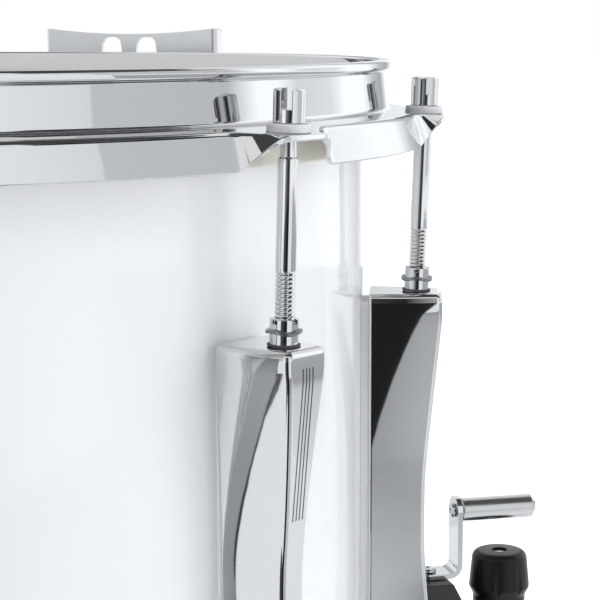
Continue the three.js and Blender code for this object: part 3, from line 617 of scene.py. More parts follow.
batter_hoop = make_hoop("batter_rim")
snare_hoop = copied(batter_hoop, "snare_rim")
upside_down = shift(0, 0, drum_height) @ Matrix.Scale(-1, 4, (0, 0, 1))
placed(snare_hoop, upside_down)
gate_half_width = 25
gate_foot = 4.6
gate_top = 20.2
for side in (1, -1):
    near = side * (shell_radius + 2)
    far = side * (shell_radius + skirt_reach + 4)
    gate = block("gate", (min(near, far), -gate_half_width, gate_foot), (max(near, far), gate_half_width, gate_top))
    bevelled(gate, 3, 4)
    cut(snare_hoop, gate)
placed(batter_hoop, station(0))
placed(snare_hoop, station(0))
done(batter_hoop, chrome, "chrome", "drum", "batter_hoop")
done(snare_hoop, chrome, "chrome", "drum", "snare_hoop")


# Heads: a film drawn over the bearing edge and held in a flesh hoop.
film_depth = 9
film_thickness = 0.35
film_reach = 1.6
flesh_inner_reach = 2.8
flesh_outer_reach = 11.6
flesh_top = 20.4
flesh_foot = 28.9
film_radius = shell_radius + film_reach
film_outline = [
    (0, drum_height - film_depth),
    (film_radius - 2.4, drum_height - film_depth),
    (film_radius - 1.2, drum_height - film_depth - 0.3),
    (film_radius - 0.35, drum_height - film_depth - 1.1),
    (film_radius, drum_height - film_depth - 2.3),
    (film_radius, drum_height - flesh_top - 1.2),
    (film_radius - film_thickness, drum_height - flesh_top - 1.2),
    (film_radius - film_thickness, drum_height - film_depth - 2.3),
    (film_radius - 0.65, drum_height - film_depth - 1.35),
    (film_radius - 1.4, drum_height - film_depth - 0.6),
    (film_radius - 2.5, drum_height - film_depth - film_thickness),
    (0, drum_height - film_depth - film_thickness),
]
flesh_outline = rounded([
    (film_radius - film_thickness, drum_height - flesh_top, 0.4),
    (shell_radius + flesh_outer_reach, drum_height - flesh_top, 1.2),
    (shell_radius + flesh_outer_reach, drum_height - flesh_foot, 0.8),
    (shell_radius + flesh_inner_reach, drum_height - flesh_foot, 0.8),
    (shell_radius + flesh_inner_reach, drum_height - flesh_top - 1.2, 0.2),
    (film_radius - film_thickness, drum_height - flesh_top - 1.2, 0.2),
])
batter_film = spun("batter_film", film_outline, shell_sides)
batter_flesh = spun("batter_flesh_hoop", flesh_outline, shell_sides)
snare_film = placed(copied(batter_film, "snare_film"), upside_down)
snare_flesh = placed(copied(batter_flesh, "snare_flesh_hoop"), upside_down)
for piece in (batter_film, batter_flesh, snare_film, snare_flesh):
    placed(piece, station(0))
done(batter_film, film, "white_film", "drum", "batter_head")
done(batter_flesh, flesh_resin, "white_film", "drum")
done(snare_film, clear_film, "clear_film", "drum", "snare_head")
done(snare_flesh, flesh_resin, "clear_film", "drum")


# Tension rods, drawn up their own axis from the ear's face.
rod_lean = math.radians(2.05)
shank = 3
neck = 2.45
neck_foot = -6.6
rod_end = -76
thread_top = -39
thread_pitch = 1.3
thread_depth = 0.42
thread_rows = 8
head_foot = 2.95
head_top = 12.9
head_radius = 4.75
slot_width = 3.2
slot_depth = 6
washer_foot = 0.32
washer_top = 2.95
washer_radius = 6.45


def make_rod():
    """A rod with a slotted head, a narrower neck and a rolled thread."""
    thread_length = thread_top - rod_end - 1
    count = round(thread_length / thread_pitch * thread_rows)
    outline = [(0, rod_end), (shank - 0.6, rod_end), (shank - 0.1, rod_end + 0.6)]
    outline += [(shank, rod_end + 1 + thread_length * i / count) for i in range(count + 1)]
    outline += [
        (shank, neck_foot - 0.5), (neck, neck_foot), (neck, head_foot - 0.2), (head_radius - 0.3, head_foot),
        (head_radius, head_foot + 0.3), (head_radius, head_top - 0.9), (head_radius - 0.3, head_top - 0.3),
        (head_radius - 1.1, head_top), (0, head_top),
    ]
    piece = spun("rod", outline, 32)
    first = (rod_end + 0.9) * MM
    last = (thread_top + 0.05) * MM
    for corner in piece.data.vertices:
        radius = math.hypot(corner.co.x, corner.co.y)
        if first < corner.co.z < last and radius > neck * MM:
            turns = corner.co.z / MM / thread_pitch - math.atan2(corner.co.y, corner.co.x) / full_turn
            fade = eased_share((thread_top - corner.co.z / MM) / thread_pitch)
            groove = abs((turns % 1) * 2 - 1)
            keep = 1 - thread_depth / shank * (1 - min(groove * 1.15, 1)) * fade
            corner.co.x *= keep
            corner.co.y *= keep
    slot = block(
        "slot",
        (-2 * head_radius, -slot_width / 2, head_top - slot_depth),
        (2 * head_radius, slot_width / 2, head_top + 2),
    )
    return cut(piece, slot)


def ring(name, inner, outer, foot, top, rounding, sides=40, steps=3):
    corners = [(inner, foot, rounding), (outer, foot, rounding), (outer, top, rounding), (inner, top, rounding)]
    return spun(name, rounded(corners, steps), sides)


slot_turns = {"batter_rod_09": math.radians(-11), "batter_rod_10": math.radians(20)}
rod = make_rod()
washer = ring("washer", 3.2, washer_radius, washer_foot, washer_top, 0.5)


def rod_place(azimuth, batter):
    """Where a rod's own axis stands, at the batter or the snare end."""
    height = drum_height - ear_depth if batter else ear_depth
    lean = rod_lean if batter else math.pi - rod_lean
    return station(azimuth) @ shift(shell_radius + rod_reach, 0, height) @ turn(lean, "Y")


for i, azimuth in enumerate(rod_azimuths, 1):
    for end, batter in (("batter", True), ("snare", False)):
        name = f"{end}_rod_{i:02d}"
        facing = math.pi / 2 - camera_yaw - azimuth if batter else 0.7 * i
        facing += slot_turns.get(name, 0)
        where = rod_place(azimuth, batter) @ turn(facing, "Z")
        own = placed(copied(rod, f"{name}_screw"), where)
        done(own, chrome, "chrome", name, name)
        own = placed(copied(washer, f"{name}_washer"), where)
        done(own, nylon, "white_film", name)
bpy.data.objects.remove(rod)
bpy.data.objects.remove(washer)


# Lugs: heights are distances from the lug's middle.
lug_reach = 2.6
lug_half = middle - 80.5
lug_base = shell_radius + lug_reach
lug_round = 2
lug_section_turns = 5
flank_bulge = 0.4
flank_steps = 6
groove_depth = 0.6
groove_width = 0.6
groove_spots = (-2.2, -0.7, 0.7, 2.2)


def lug_form(distance):
    """Half width at the base, half width of the front, and the front's radius."""
    depth = middle - distance
    swell = 147 - depth
    front_radius = shell_radius + 22.4 + 0.1 * (swell + math.sqrt(swell ** 2 + 36)) / 2
    front_radius = min(front_radius, shell_radius + 28.1)
    share = min(max((141 - depth) / 55, 0), 1) ** 1.5
    return between(11, 12.2, share), between(4.5, 8.6, share), front_radius


def bowed(start, end, bulge):
    """The points between two others on a side that bows outwards from a lug's middle plane."""
    start, end = Vector(start), Vector(end)
    along = end - start
    out = Vector((along.y, -along.x)).normalized()
    out *= math.copysign(1, out.y * start.y)
    points = []
    for k in range(1, flank_steps):
        share = k / flank_steps
        points.append(tuple(start + along * share + out * (4 * bulge * share * (1 - share))))
    return points


def make_lug():
    ends = [lug_half - lug_round * (1 - math.cos(math.pi / 2 * i / 5)) for i in range(6)]
    insets = [lug_round * (1 - math.sin(math.pi / 2 * i / 5)) for i in range(6)]
    inner_rows = 44
    distances = ends + [ends[-1] * (1 - i / inner_rows) for i in range(1, inner_rows + 1)]
    insets += [0] * inner_rows
    forms = [(d, inset) for d, inset in zip(distances, insets)]
    forms += [(-d, inset) for d, inset in reversed(forms[:-1])]
    sections = []
    for distance, inset in forms:
        base, front, radius = lug_form(abs(distance))
        corners = [
            (lug_base, base - inset, 1.0),
            (radius - inset, front - inset, 2.2),
            (radius - inset, -front + inset, 2.2),
            (lug_base, -base + inset, 1.0),
        ]
        outline = rounded(corners, lug_section_turns)
        corner_points = lug_section_turns + 1
        bulge = flank_bulge * (1 - inset / lug_round)
        left_flank = bowed(outline[corner_points - 1], outline[corner_points], bulge)
        right_flank = bowed(outline[3 * corner_points - 1], outline[3 * corner_points], bulge)
        outline = (outline[:corner_points] + left_flank + outline[corner_points:3 * corner_points] + right_flank
                   + outline[3 * corner_points:])
        sections.append([(x, y, distance) for x, y in outline])
    count = len(sections[0])

    def place(column, row):
        return sections[row][column % count]

    piece = woven("lug", count, len(sections) - 1, place)
    take(piece)
    bpy.ops.object.mode_set(mode="EDIT")
    bpy.ops.mesh.select_all(action="DESELECT")
    bpy.ops.mesh.select_non_manifold()
    bpy.ops.mesh.fill_holes(sides=0)
    bpy.ops.object.mode_set(mode="OBJECT")
    settle(piece)
    for side in (1, -1):
        for spot in groove_spots:
            steps = 12
            line = []
            for k in range(steps + 1):
                distance = between(middle - 86, middle - 132, k / steps)
                line.append((lug_form(distance)[2], side * distance))
            outline = [(radius + 2, z) for radius, z in line]
            outline += [(radius - groove_depth, z) for radius, z in reversed(line)]
            groove = prism("groove", outline, groove_width)
            placed(groove, shift(0, spot + groove_width / 2, 0) @ turn(math.pi / 2, "X"))
            cut(piece, groove)
    return piece


lug_end_along = -(80.5 - ear_depth) / math.cos(rod_lean)
nut_top = lug_end_along + 8.3
snap_ring_along = lug_end_along + 4.4


def in_lug(batter):
    """Places what is drawn on a rod's axis in the frame of a lug whose middle is at height 0."""
    height = middle - ear_depth if batter else ear_depth - middle
    lean = rod_lean if batter else math.pi - rod_lean
    return shift(shell_radius + rod_reach, 0, height) @ turn(lean, "Y")


def make_nut():
    piece = ring("nut", 3.15, 4.25, lug_end_along - 5, nut_top, 0.35, 40)
    for angle in (0, math.pi / 2):
        notch = block("notch", (-6, -0.9, nut_top - 1.5), (6, 0.9, nut_top + 1))
        cut(piece, placed(notch, turn(angle, "Z")))
    return piece


lug = make_lug()
nut = make_nut()
snap_ring = ring("snap_ring", 4.2, 5.45, snap_ring_along - 0.55, snap_ring_along + 0.55, 0.3, 48)
for corner in snap_ring.data.vertices:
    corner.co.z += 0.3 * MM * math.sin(3 * math.atan2(corner.co.y, corner.co.x))
seal = ring("seal", 3.9, 4.95, lug_end_along + 0.05, lug_end_along + 0.75, 0.3, 40)
for batter in (True, False):
    bore_outline = [(4.3 * math.cos(a), 4.3 * math.sin(a)) for a in (full_turn * i / 40 for i in range(40))]
    bore = prism("bore", bore_outline, 24)
    cut(lug, placed(bore, in_lug(batter) @ shift(0, 0, lug_end_along - 18)))
nuts = [placed(copied(nut, "nut"), in_lug(batter)) for batter in (True, False)]
lug_foot = block(
    "lug_foot",
    (shell_radius - 2, -8.5, -lug_half + 3.1),
    (lug_base + 1.5, 8.5, lug_half - 3.1),
)
foot_seat = spun("foot_seat", [(0, -lug_half), (shell_radius + 0.03, -lug_half),
                               (shell_radius + 0.03, lug_half), (0, lug_half)], shell_sides)
cut(lug_foot, foot_seat)
rings = [placed(copied(snap_ring, "ring"), in_lug(batter)) for batter in (True, False)]
seals = [placed(copied(seal, "seal"), in_lug(batter)) for batter in (True, False)]
joined(lug, *nuts)
joined(rings[0], rings[1])
joined(seals[0], seals[1])
for i, azimuth in enumerate(rod_azimuths, 1):
    where = station(azimuth) @ shift(0, 0, middle)
    done(placed(copied(lug, f"lug_{i:02d}_casting"), where), chrome, "chrome", "drum", f"lug_{i:02d}")
    done(placed(copied(rings[0], f"lug_{i:02d}_snap_rings"), where), dark_steel, "chrome", "drum")
    done(placed(copied(seals[0], f"lug_{i:02d}_seals"), where), rubber, "black_plastic", "drum")
    done(placed(copied(lug_foot, f"lug_{i:02d}_gasket"), where), gasket_resin, "white_film", "drum")
for piece in (lug, nut, snap_ring, seal, rings[0], seals[0], lug_foot):
    bpy.data.objects.remove(piece)


# Strainer: cast pieces with eased edges.
for node, name, width, body in (
    ("strainer_body", "strainer_casting", 0.9, "drum"),
    ("strainer_yoke", "yoke_casting", 0.5, "yoke"),
    ("snare_clamp", "clamp_casting", 0.6, "clamp"),
    ("butt_body", "butt_casting", 0.9, "drum"),
):
    done(bevelled(remade(node, name), width), casting, "black_casting", body, node)

# Lever: a strap bent up from the strainer's top, with its spindle and cam.
body_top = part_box("strainer_body")[1].z / MM
lever_low, lever_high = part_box("strainer_lever")
arm_face = (lever_high.x - axis_x) / MM
arm_thickness = 2
arm_width = 11.4
arm_bend = 5
arm_foot = body_top + 0.4
lever_axis = arm_face - 12.6
grip_low, grip_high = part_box("lever_grip")
grip_height = (grip_low.z + grip_high.z) / 2 / MM
grip_start = (grip_low.x - axis_x) / MM
grip_end = (grip_high.x - axis_x) / MM
lever_start = lever_axis - arm_width / 2
lever_top = grip_height + arm_width / 2
arm_side = rounded([
    (lever_start, arm_foot, 0.01),
    (arm_face, arm_foot, arm_bend),
    (arm_face, lever_top, 0.01),
    (arm_face - arm_thickness, lever_top, 0.01),
    (arm_face - arm_thickness, arm_foot + arm_thickness, arm_bend - arm_thickness),
    (lever_start, arm_foot + arm_thickness, 0.01),
], 8)
arm = prism("lever_arm", arm_side, arm_width)
placed(arm, shift(0, arm_width / 2, 0) @ turn(math.pi / 2, "X"))


def half_round(radius, x, y, heading, length, count=24):
    """An outline that ends in a half circle about (x, y) and runs on for a length the other way."""
    arc = [heading - math.pi / 2 + math.pi * k / count for k in range(count + 1)]
    points = [(x + radius * math.cos(a), y + radius * math.sin(a)) for a in arc]
    back = (-length * math.cos(heading), -length * math.sin(heading))
    points.append((points[-1][0] + back[0], points[-1][1] + back[1]))
    points.append((points[0][0] + back[0], points[0][1] + back[1]))
    return points


front_view = prism("front_view", half_round(arm_width / 2, 0, grip_height, math.pi / 2, 40), 40)
placed(front_view, shift(lever_start - 4, 0, 0) @ turn(math.pi / 2, "Z") @ turn(math.pi / 2, "X"))
cut(arm, front_view, "INTERSECT")
top_view = prism("top_view", half_round(arm_width / 2, lever_axis, 0, math.pi, 24), 60)
cut(arm, placed(top_view, shift(0, 0, arm_foot - 4)), "INTERSECT")
settle(arm, flatten=True)
bevelled(arm, 0.25, 2, 50)
done(placed(arm, station(0)), chrome, "chrome", "lever", smooth=40)

cam_copy = remade("strainer_lever", "lever_spindle")
take(cam_copy)
bpy.ops.object.mode_set(mode="EDIT")
bpy.ops.mesh.select_all(action="SELECT")
bpy.ops.mesh.bisect(
    plane_co=(0, 0, (arm_foot + 0.3) * MM), plane_no=(0, 0, 1), clear_outer=True, use_fill=True
)
bpy.ops.object.mode_set(mode="OBJECT")
settle(cam_copy)
done(bevelled(cam_copy, 0.2, 2), chrome, "chrome", "lever", "strainer_lever")

# Screw in the top of the spindle.
screw_seat = arm_foot + arm_thickness + 0.3
lever_screw = spun("spindle_screw", [
    (0, body_top - 5.5), (1.5, body_top - 5.5), (1.5, screw_seat), (3.3, screw_seat), (3.5, screw_seat + 0.25),
    (3.45, screw_seat + 0.6), (2.9, screw_seat + 1.05), (2, screw_seat + 1.3), (0, screw_seat + 1.4),
], 40)
cross = block("cross", (-1.9, -0.35, screw_seat + 0.6), (1.9, 0.35, screw_seat + 3))
cut(lever_screw, cross)
cross = block("cross", (-0.35, -1.9, screw_seat + 0.6), (0.35, 1.9, screw_seat + 3))
cut(lever_screw, cross)
placed(lever_screw, station(0) @ shift(lever_axis, 0, 0))
done(lever_screw, chrome, "chrome", "lever", "lever_screw")

# Grip: a roller on a pin through the arm.
lying = turn(math.pi / 2, "Y")
roller = ring("roller", 2.45, 4.6, 0, grip_end - grip_start, 1, 64, 5)
placed(roller, station(0) @ shift(grip_start, 0, grip_height) @ lying)
done(roller, roller_steel, "chrome", "grip", "lever_grip")
pin_low, pin_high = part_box("grip_pin")
pin_start = (pin_low.x - axis_x) / MM
pin_length = (pin_high.x - pin_low.x) / MM
pin = spun("rivet_pin", [
    (0, 0.5), (0.9, 0.35), (1.1, 0), (2.3, 0), (2.7, 0.3), (2.75, 1.05), (2.0, 1.1),
    (2.0, pin_length - 1.1), (2.75, pin_length - 1.1), (2.65, pin_length - 0.4), (1.8, pin_length),
    (0, pin_length),
], 40)
placed(pin, station(0) @ shift(pin_start, 0, grip_height) @ lying)
done(pin, nut_steel, "chrome", "lever", "grip_pin")

# Knob, with the tension screw under it.
knob_low, knob_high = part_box("tension_knob")
knob_axis = (knob_low.x + knob_high.x) / 2
table_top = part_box("strainer_yoke")
knob_foot = knob_high.z / MM - 30
knob_outline = rounded([
    (3.1, knob_foot, 0.1), (10.3, knob_foot, 0.5), (10.3, knob_foot + 10.6, 0.3), (12, knob_foot + 14, 1.2),
    (10.6, knob_foot + 28.2, 3), (3, knob_foot + 28.4, 0.2), (3, knob_foot + 27.4, 0.1), (3.1, knob_foot + 27.4, 0.1),
], 5)
knob = spun("knob_grip", knob_outline, 96)
for i in range(8):
    angle = full_turn * (i + 0.5) / 8
    flute_outline = [(1.8 * math.cos(a), 1.8 * math.sin(a)) for a in (full_turn * k / 24 for k in range(24))]
    flute = prism("flute", flute_outline, 24)
    cut(knob, placed(flute, shift(12.9 * math.cos(angle), 12.9 * math.sin(angle), knob_foot + 10.6)))
placed(knob, Matrix.Translation((knob_axis, 0, 0)))
done(knob, moulding, "black_plastic", "knob", "tension_knob", smooth=40)
screw_foot = knob_low.z / MM
screw_rows = 120
screw_outline = [(0, screw_foot), (2.5, screw_foot)]
screw_outline += [
    (2.95 - 0.35 * (k % 2), between(screw_foot + 0.5, knob_foot + 2, k / screw_rows)) for k in range(screw_rows + 1)
]
screw_outline += [(2.9, knob_foot + 27.3), (2.2, knob_foot + 27.7), (0, knob_foot + 27.7)]
tension_screw = spun("tension_screw", screw_outline, 32)
placed(tension_screw, Matrix.Translation((knob_axis, 0, 0)))
done(tension_screw, nut_steel, "chrome", "knob")


def screw_head(name, radius, height, length, shaft):
    """A domed screw with a cross in its head, drawn up Z from under the head."""
    outline = [
        (0, -length), (shaft, -length), (shaft, 0), (radius - 0.1, 0), (radius, height * 0.4),
        (radius * 0.86, height * 0.78), (radius * 0.6, height * 0.95), (0, height),
    ]
    piece = spun(name, outline, 40)
    half = radius * 0.55
    for low, high in (
        ((-half, -0.35, height * 0.45), (half, 0.35, height + 2)),
        ((-0.35, -half, height * 0.45), (0.35, half, height + 2)),
    ):
        cut(piece, block("cross", low, high))
    return piece


# Jaws of the clamp and the butt, each with two screws.
jaw_screw_spread = 15.5
for node, name, azimuth, body in (
    ("snare_clamp_plate", "clamp_jaw", 0, "clamp"), ("butt_plate", "butt_jaw", butt_azimuth, "drum")
):
    low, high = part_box(node)
    outer = max(abs(low.x - axis_x), abs(high.x - axis_x)) / MM
    inner = min(abs(low.x - axis_x), abs(high.x - axis_x)) / MM
    plate_inner = inner if node == "snare_clamp_plate" else outer - 4.2
    jaw = block(name, (plate_inner, -20, low.z / MM), (plate_inner + 2.2, 20, high.z / MM))
    bevelled(jaw, 0.5)
    placed(jaw, station(azimuth))
    done(jaw, chrome, "chrome", body, node)
    for side, word in ((-1, "left"), (1, "right")):
        screw = screw_head(f"{name}_screw_{word}", 3.5, 2, outer - 2 - inner - 0.3, 2)
        height = (low.z + high.z) / 2 / MM
        if node == "snare_clamp_plate":
            clamp_low, clamp_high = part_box("snare_clamp")
            height = (clamp_low.z + clamp_high.z) / 2 / MM
        else:
            body_low, body_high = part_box("butt_body")
            height = (body_low.z + body_high.z) / 2 / MM
        placed(screw, station(azimuth) @ shift(outer - 2, side * jaw_screw_spread, height) @ lying)
        done(screw, chrome, "chrome", body)


# Carrier plate: a pressed plate with its sides turned outwards.
plate_low = drum_height - 60
plate_radius = shell_radius + ear_reach + 1.4
plate_half = 43.5
plate_flange = 7
plate_sheet = 2
plate_bend = 3
plan = rounded([
    (plate_radius, plate_half, plate_bend),
    (plate_radius, -plate_half, plate_bend),
    (plate_radius + plate_flange, -plate_half, 0.6),
    (plate_radius + plate_flange, -plate_half + plate_sheet, 0.6),
    (plate_radius + plate_sheet, -plate_half + plate_sheet, plate_bend - plate_sheet + 0.4),
    (plate_radius + plate_sheet, plate_half - plate_sheet, plate_bend - plate_sheet + 0.4),
    (plate_radius + plate_flange, plate_half - plate_sheet, 0.6),
    (plate_radius + plate_flange, plate_half, 0.6),
], 6)
plate = prism("carrier_plate_pressing", plan, 76)
placed(plate, shift(0, 0, plate_low - 2))
plate_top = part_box("carrier_plate")[1].z / MM
plate_middle = drum_height + 7.8
dish_count = 24
dish = [
    (plate_half * (1 - 2 * k / dish_count), between(plate_middle, plate_top, (1 - 2 * k / dish_count) ** 2))
    for k in range(dish_count + 1)
]
left_corner = [(-plate_half, plate_top, 4), (-plate_half, plate_low, 6)]
face_corners = [(x, z, 0.3) for x, z in dish[1:-1]]
face = rounded(
    [(plate_half, plate_low, 6), (plate_half, plate_top, 4)] + face_corners + left_corner, 5
)
face_cut = prism("face_cut", face, 30)
placed(face_cut, shift(plate_radius - 10, 0, 0) @ turn(math.pi / 2, "Z") @ turn(math.pi / 2, "X"))
cut(plate, face_cut, "INTERSECT")
for side in (-1, 1):
    window = rounded([
        (side * 8.8 - 6.6, drum_height - 13, 3), (side * 8.8 + 6.6, drum_height - 13, 3),
        (side * 8.8 + 4.4, drum_height + 6.4, 3.2), (side * 8.8 - 4.4, drum_height + 6.4, 3.2),
    ], 8)
    opening = prism("opening", window, 12)
    cut(plate, placed(opening, shift(plate_radius - 4, 0, 0) @ turn(math.pi / 2, "Z") @ turn(math.pi / 2, "X")))
settle(plate, flatten=True)
bevelled(plate, 0.35, 2, 50)
placed(plate, station(plate_azimuth))
done(plate, plate_chrome, "chrome", "drum", "carrier_plate")
plate_screw_spread = 33
plate_screw_height = drum_height - 48
for side, word in ((-1, "left"), (1, "right")):
    nearest = plate_screw_spread - 3.5
    seat = math.sqrt(shell_radius ** 2 - nearest ** 2) + 0.3
    screw = screw_head(f"plate_screw_{word}", 4, 2, plate_radius + plate_sheet - seat, 2)
    sleeve = ring("sleeve", 2, 3.5, seat - plate_radius - plate_sheet, -plate_sheet - 0.3, 0.3)
    joined(screw, sleeve)
    where = shift(plate_radius + plate_sheet + 0.3, side * plate_screw_spread, plate_screw_height) @ lying
    placed(screw, station(plate_azimuth) @ where)
    done(screw, chrome, "chrome", "drum", f"carrier_screw_{word}")


# Straps: a thin band from the snares, out through the hoop's gate and up to a jaw.
def make_strap_piece(name, node, side):
    """Follows the node's own middle line, with its bends eased."""
    low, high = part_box(node)
    reach = max(abs(low.x - axis_x), abs(high.x - axis_x)) / MM
    inner = min(abs(low.x - axis_x), abs(high.x - axis_x)) / MM
    top = high.z / MM
    run = 6
    thickness = 0.6
    route = [
        Vector((inner, run - 0.6)), Vector((shell_radius + collar_foot_reach, run)),
        Vector((shell_radius + skirt_reach + 2, gate_top - 6)), Vector((reach - 0.3, gate_top + 6)),
        Vector((reach - 0.3, top)),
    ]
    smooth = []
    for i in range(len(route) - 1):
        for k in range(8):
            t = k / 8
            p0 = route[max(i - 1, 0)]
            p1, p2 = route[i], route[i + 1]
            p3 = route[min(i + 2, len(route) - 1)]
            ease = 0.35
            m1 = (p2 - p0) * ease * (p2 - p1).length / max((p2 - p0).length, 0.01)
            m2 = (p3 - p1) * ease * (p2 - p1).length / max((p3 - p1).length, 0.01)
            smooth.append(
                p1 * (2 * t ** 3 - 3 * t ** 2 + 1) + m1 * (t ** 3 - 2 * t ** 2 + t)
                + p2 * (3 * t ** 2 - 2 * t ** 3) + m2 * (t ** 3 - t ** 2)
            )
    smooth.append(route[-1])
    outline = []
    for sign in (1, -1):
        row = []
        for i, point in enumerate(smooth):
            along = smooth[min(i + 1, len(smooth) - 1)] - smooth[max(i - 1, 0)]
            across = Vector((-along.y, along.x)).normalized() * (sign * thickness / 2)
            row.append(tuple(point + across))
        outline += row if sign > 0 else row[::-1]
    piece = prism(name, outline, 22)
    placed(piece, shift(0, 11, 0) @ turn(math.pi / 2, "X"))
    return placed(piece, station(0 if side > 0 else math.pi))


strainer_band = make_strap_piece("strainer_band", "strainer_strap", 1)
done(strainer_band, strap_film, "strap", "drum", "strainer_strap")
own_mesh(strainer_band)
butt_band = make_strap_piece("butt_band", "butt_strap", -1)
done(butt_band, strap_film, "strap", "drum", "butt_strap")

# Snares: cable strands between two end plates.
snare_low, snare_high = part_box("snares")
snare_half = (snare_high.x - snare_low.x) / 2 / MM
snare_middle = (snare_low.z + snare_high.z) / 2 / MM
strand_outline = rounded([
    (0, -snare_half + 5, 0.01), (0.75, -snare_half + 5, 0.2), (0.75, snare_half - 5, 0.2), (0, snare_half - 5, 0.01)
], 2)
strand = spun("strand", strand_outline, 12)
strands = []
for i in range(14):
    own = placed(copied(strand, "strand"), shift(0, (i - 6.5) * 2.7, snare_middle) @ lying)
    strands.append(own)
bpy.data.objects.remove(strand)
cables = joined(strands[0], *strands[1:])
cables.name = "snare_cables"
done(placed(cables, station(0)), cable, "snare_cable", "drum", "snares")
for side, word in ((-1, "butt"), (1, "strainer")):
    ends_x = sorted((side * snare_half, side * (snare_half - 11)))
    end_plate = block(
        f"snare_end_{word}", (ends_x[0], -20, snare_low.z / MM), (ends_x[1], 20, snare_high.z / MM)
    )
    done(placed(bevelled(end_plate, 0.5), station(0)), chrome, "chrome", "drum")


# Stage: a pale floor that stays white to the camera and keeps the shadow, and panels that only the
# chrome and the lacquer reflect. Their bearings are measured from straight behind the camera, and
# rise towards the camera's right.
def lit_surface(name, levels, start, end, tint):
    """Shines by itself, from the first level at the start to the second at the end."""
    finish = Finish(name)
    colours = [(level * (1 - tint), level, level * (1 + tint), 1) for level in levels]
    run = end - start
    along = finish.node("ShaderNodeVectorMath", {"operation": "DOT_PRODUCT"}, {0: finish.place(), 1: run}, "Value")
    share = (along - start.dot(run)) * (1 / run.length_squared)
    finish.set(Base_Color=(0, 0, 0, 1), Roughness=1.0, Specular_IOR_Level=0.0)
    return finish.set(Emission_Color=finish.mix(share, *colours), Emission_Strength=1.22)


def seen_in_reflections(piece):
    piece.visible_camera = False
    piece.visible_diffuse = False
    piece.visible_shadow = False
    piece.visible_transmission = False


studio_centre = Vector((axis_x + 0.13, -0.12, 0))
level_back = Vector((-forward.x, -forward.y, 0)).normalized()


def bearing(angle):
    turned_right = math.radians(angle)
    return math.cos(turned_right) * level_back + math.sin(turned_right) * level


def spot_on_stage(angle, distance, height=0):
    return studio_centre + bearing(angle) * distance + Vector((0, 0, height))


def card(name, levels, corners, run, tint=0.03):
    """A surface between four corners, each a bearing, a distance and a height, seen only in reflections."""
    steps = 12

    def place(column, row):
        first, last = (corners[0], corners[1]) if row == 0 else (corners[3], corners[2])
        return tuple(spot_on_stage(*(between(a, b, column / steps) for a, b in zip(first, last))) / MM)

    piece = woven(name, steps, 1, place)
    piece.data.materials.append(lit_surface(name, levels, *(spot_on_stage(*end) for end in run), tint))
    seen_in_reflections(piece)


def wall(name, stops, low, high, distance=2.0):
    """A curved upright wall through (bearing, level) stops, which fades from each to the next."""
    for (first, before), (last, after) in zip(stops, stops[1:]):
        ends = ((first, distance, low), (last, distance, low), (last, distance, high), (first, distance, high))
        card(f"{name}_{round(first)}", (before, after), ends, (ends[0], ends[1]))


def mat(name, levels, first, last, near, far, height=0.001, tint=0.03):
    """A flat card between two bearings and two distances, which fades from near to far."""
    middle_bearing = (first + last) / 2
    ends = ((first, near, height), (last, near, height), (last, far, height), (first, far, height))
    card(name, levels, ends, ((middle_bearing, near), (middle_bearing, far)), tint)


def make_floor():
    finish = Finish("floor")
    cloud = finish.noise(3, 2)
    colour = finish.mix(cloud, (0.9, 0.9, 0.9, 1), (0.93, 0.93, 0.93, 1))
    seen = finish.node("ShaderNodeLightPath", output="Is Camera Ray")
    for ray in ("Is Glossy Ray", "Is Transmission Ray"):
        other = finish.node("ShaderNodeLightPath", output=ray)
        seen = finish.node("ShaderNodeMath", {"operation": "MAXIMUM"}, {0: seen, 1: other})
    finish.set(Base_Color=colour, Roughness=0.9)
    glow = finish.mix(seen, (0, 0, 0, 1), (0.5, 0.5, 0.5, 1))
    return finish.set(Emission_Color=glow, Emission_Strength=1.0)


deselect()
bpy.ops.mesh.primitive_plane_add(size=40)
floor = named("floor")
floor.data.materials.append(make_floor())

# Walls, from the left round the back to the right
wall("left_wall", [(-150, 0.95), (-84, 0.62), (-49, 0.6)], 0, 1.3)
wall("left_strip", [(-49, 1.15), (-26, 1.0)], 0.05, 0.6)
wall("left_upper_wall", [(-49, 0.62), (-26, 0.62)], 0.6, 1.3)
wall("dark_room", [(-26, 0.3), (-2, 0.06), (13, 0.02), (25, 0.5)], 0, 1.6)
wall("right_strip", [(25, 0.95), (56, 0.8)], 0.05, 1.3)
wall("right_wall", [(56, 0.62), (90, 0.58), (99, 1.17), (106, 1.15), (113, 0.8)], 0.05, 1.5)
wall("back_right_wall", [(113, 0.8), (126, 0.88), (133, 1.17)], 0.05, 0.55)
wall("back_upper_wall", [(113, 1.05), (133, 1.17)], 0.55, 1.5)
wall("back_wall", [(133, 1.17), (144, 1.1), (152, 0.6), (160, 0.4), (170, 1.0)], 0, 1.5)

wall("behind_wall", [(170, 1.0), (182, 0.45), (196, 0.5), (210, 0.95)], 0, 1.5)

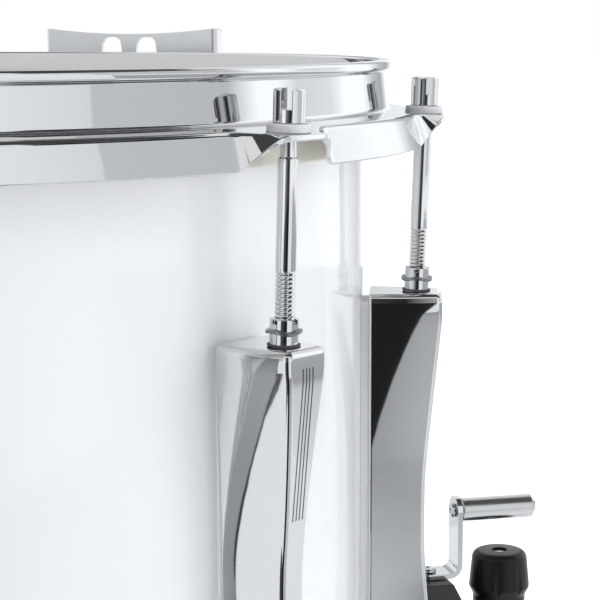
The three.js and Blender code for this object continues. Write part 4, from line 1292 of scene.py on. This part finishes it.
# Floor
mat("pale_floor", (0.88, 0.88), -180, 180, 0.01, 2.0, 0.0005)
mat("dark_floor", (0.015, 0.015), -2, 22.5, 0.25, 2.0)
mat("dim_floor", (0.06, 0.06), -26, -2, 0.5, 2.0)
mat("near_floor_middle", (0.3, 0.25), -2, 22.5, 0.12, 0.25)
near_right = ((22.5, 0.12, 0.001), (60, 0.12, 0.001), (60, 0.95, 0.001), (22.5, 0.75, 0.001))
card("near_floor_right", (0.8, 0.35), near_right, ((35, 0.12), (35, 0.7)))
mat("right_floor", (0.8, 0.4), 60, 135, 0.55, 1.0)
mat("far_right_floor", (0.4, 0.5), 60, 135, 1.0, 2.0)
mat("back_floor", (0.75, 0.4), 135, 260, 0.6, 2.0)
table_edge = ((-54, 0.45, 0.001), (-68, 0.45, 0.001), (-68, 0.8, 0.001), (-54, 0.8, 0.001))
card("table_edge", (0.06, 0.7), table_edge, ((-54, 0.58), (-63, 0.58)))
left_floor = ((-68, 0.4, 0.001), (-100, 0.6, 0.001), (-100, 2.0, 0.001), (-68, 2.0, 0.001))
card("left_floor", (0.7, 0.7), left_floor, ((-70, 0.7), (-70, 2.0)))

# Ceiling
mat("ceiling", (0.06, 0.06), -180, 180, 0.01, 1.0, 1.6)
mat("ceiling_right", (0.03, 0.03), 45, 105, 1.0, 1.9, 1.6)

drum_centre = Vector((axis_x, 0, middle * MM))

world = bpy.data.worlds.new("studio")
bpy.context.scene.world = world
world.use_nodes = True
nodes = world.node_tree.nodes
links = world.node_tree.links
nodes.clear()
rays = nodes.new("ShaderNodeLightPath")
either = nodes.new("ShaderNodeMath")
either.operation = "MAXIMUM"
links.new(rays.outputs["Is Camera Ray"], either.inputs[0])
links.new(rays.outputs["Is Glossy Ray"], either.inputs[1])
any_ray = nodes.new("ShaderNodeMath")
any_ray.operation = "MAXIMUM"
links.new(either.outputs[0], any_ray.inputs[0])
links.new(rays.outputs["Is Transmission Ray"], any_ray.inputs[1])
soft = nodes.new("ShaderNodeBackground")
soft.inputs["Color"].default_value = (0.95, 0.97, 1.0, 1)
soft.inputs["Strength"].default_value = 0.78
white = nodes.new("ShaderNodeBackground")
white.inputs["Color"].default_value = (1, 1, 1, 1)
white.inputs["Strength"].default_value = 1.0
choice = nodes.new("ShaderNodeMixShader")
links.new(any_ray.outputs[0], choice.inputs["Fac"])
links.new(soft.outputs[0], choice.inputs[1])
links.new(white.outputs[0], choice.inputs[2])
shown = nodes.new("ShaderNodeOutputWorld")
links.new(choice.outputs[0], shown.inputs["Surface"])


def lamp(name, place, size, energy, colour=(1, 1, 1)):
    data = bpy.data.lights.new(name, "AREA")
    data.shape = "RECTANGLE"
    data.size = size[0]
    data.size_y = size[1]
    data.energy = energy
    data.color = colour
    made = bpy.data.objects.new(name, data)
    bpy.context.scene.collection.objects.link(made)
    made.location = place
    made.rotation_euler = (drum_centre - Vector(place)).to_track_quat("-Z", "Y").to_euler()
    made.visible_camera = False
    made.visible_glossy = False


lamp("key", (-0.9, -1.2, 1.3), (1.2, 1.0), 2.5)
lamp("fill", (1.4, -0.9, 0.6), (0.9, 1.2), 7)
lamp("top", (0, 0.3, 1.8), (1.6, 1.6), 6)

bpy.context.scene.view_settings.view_transform = "Standard"
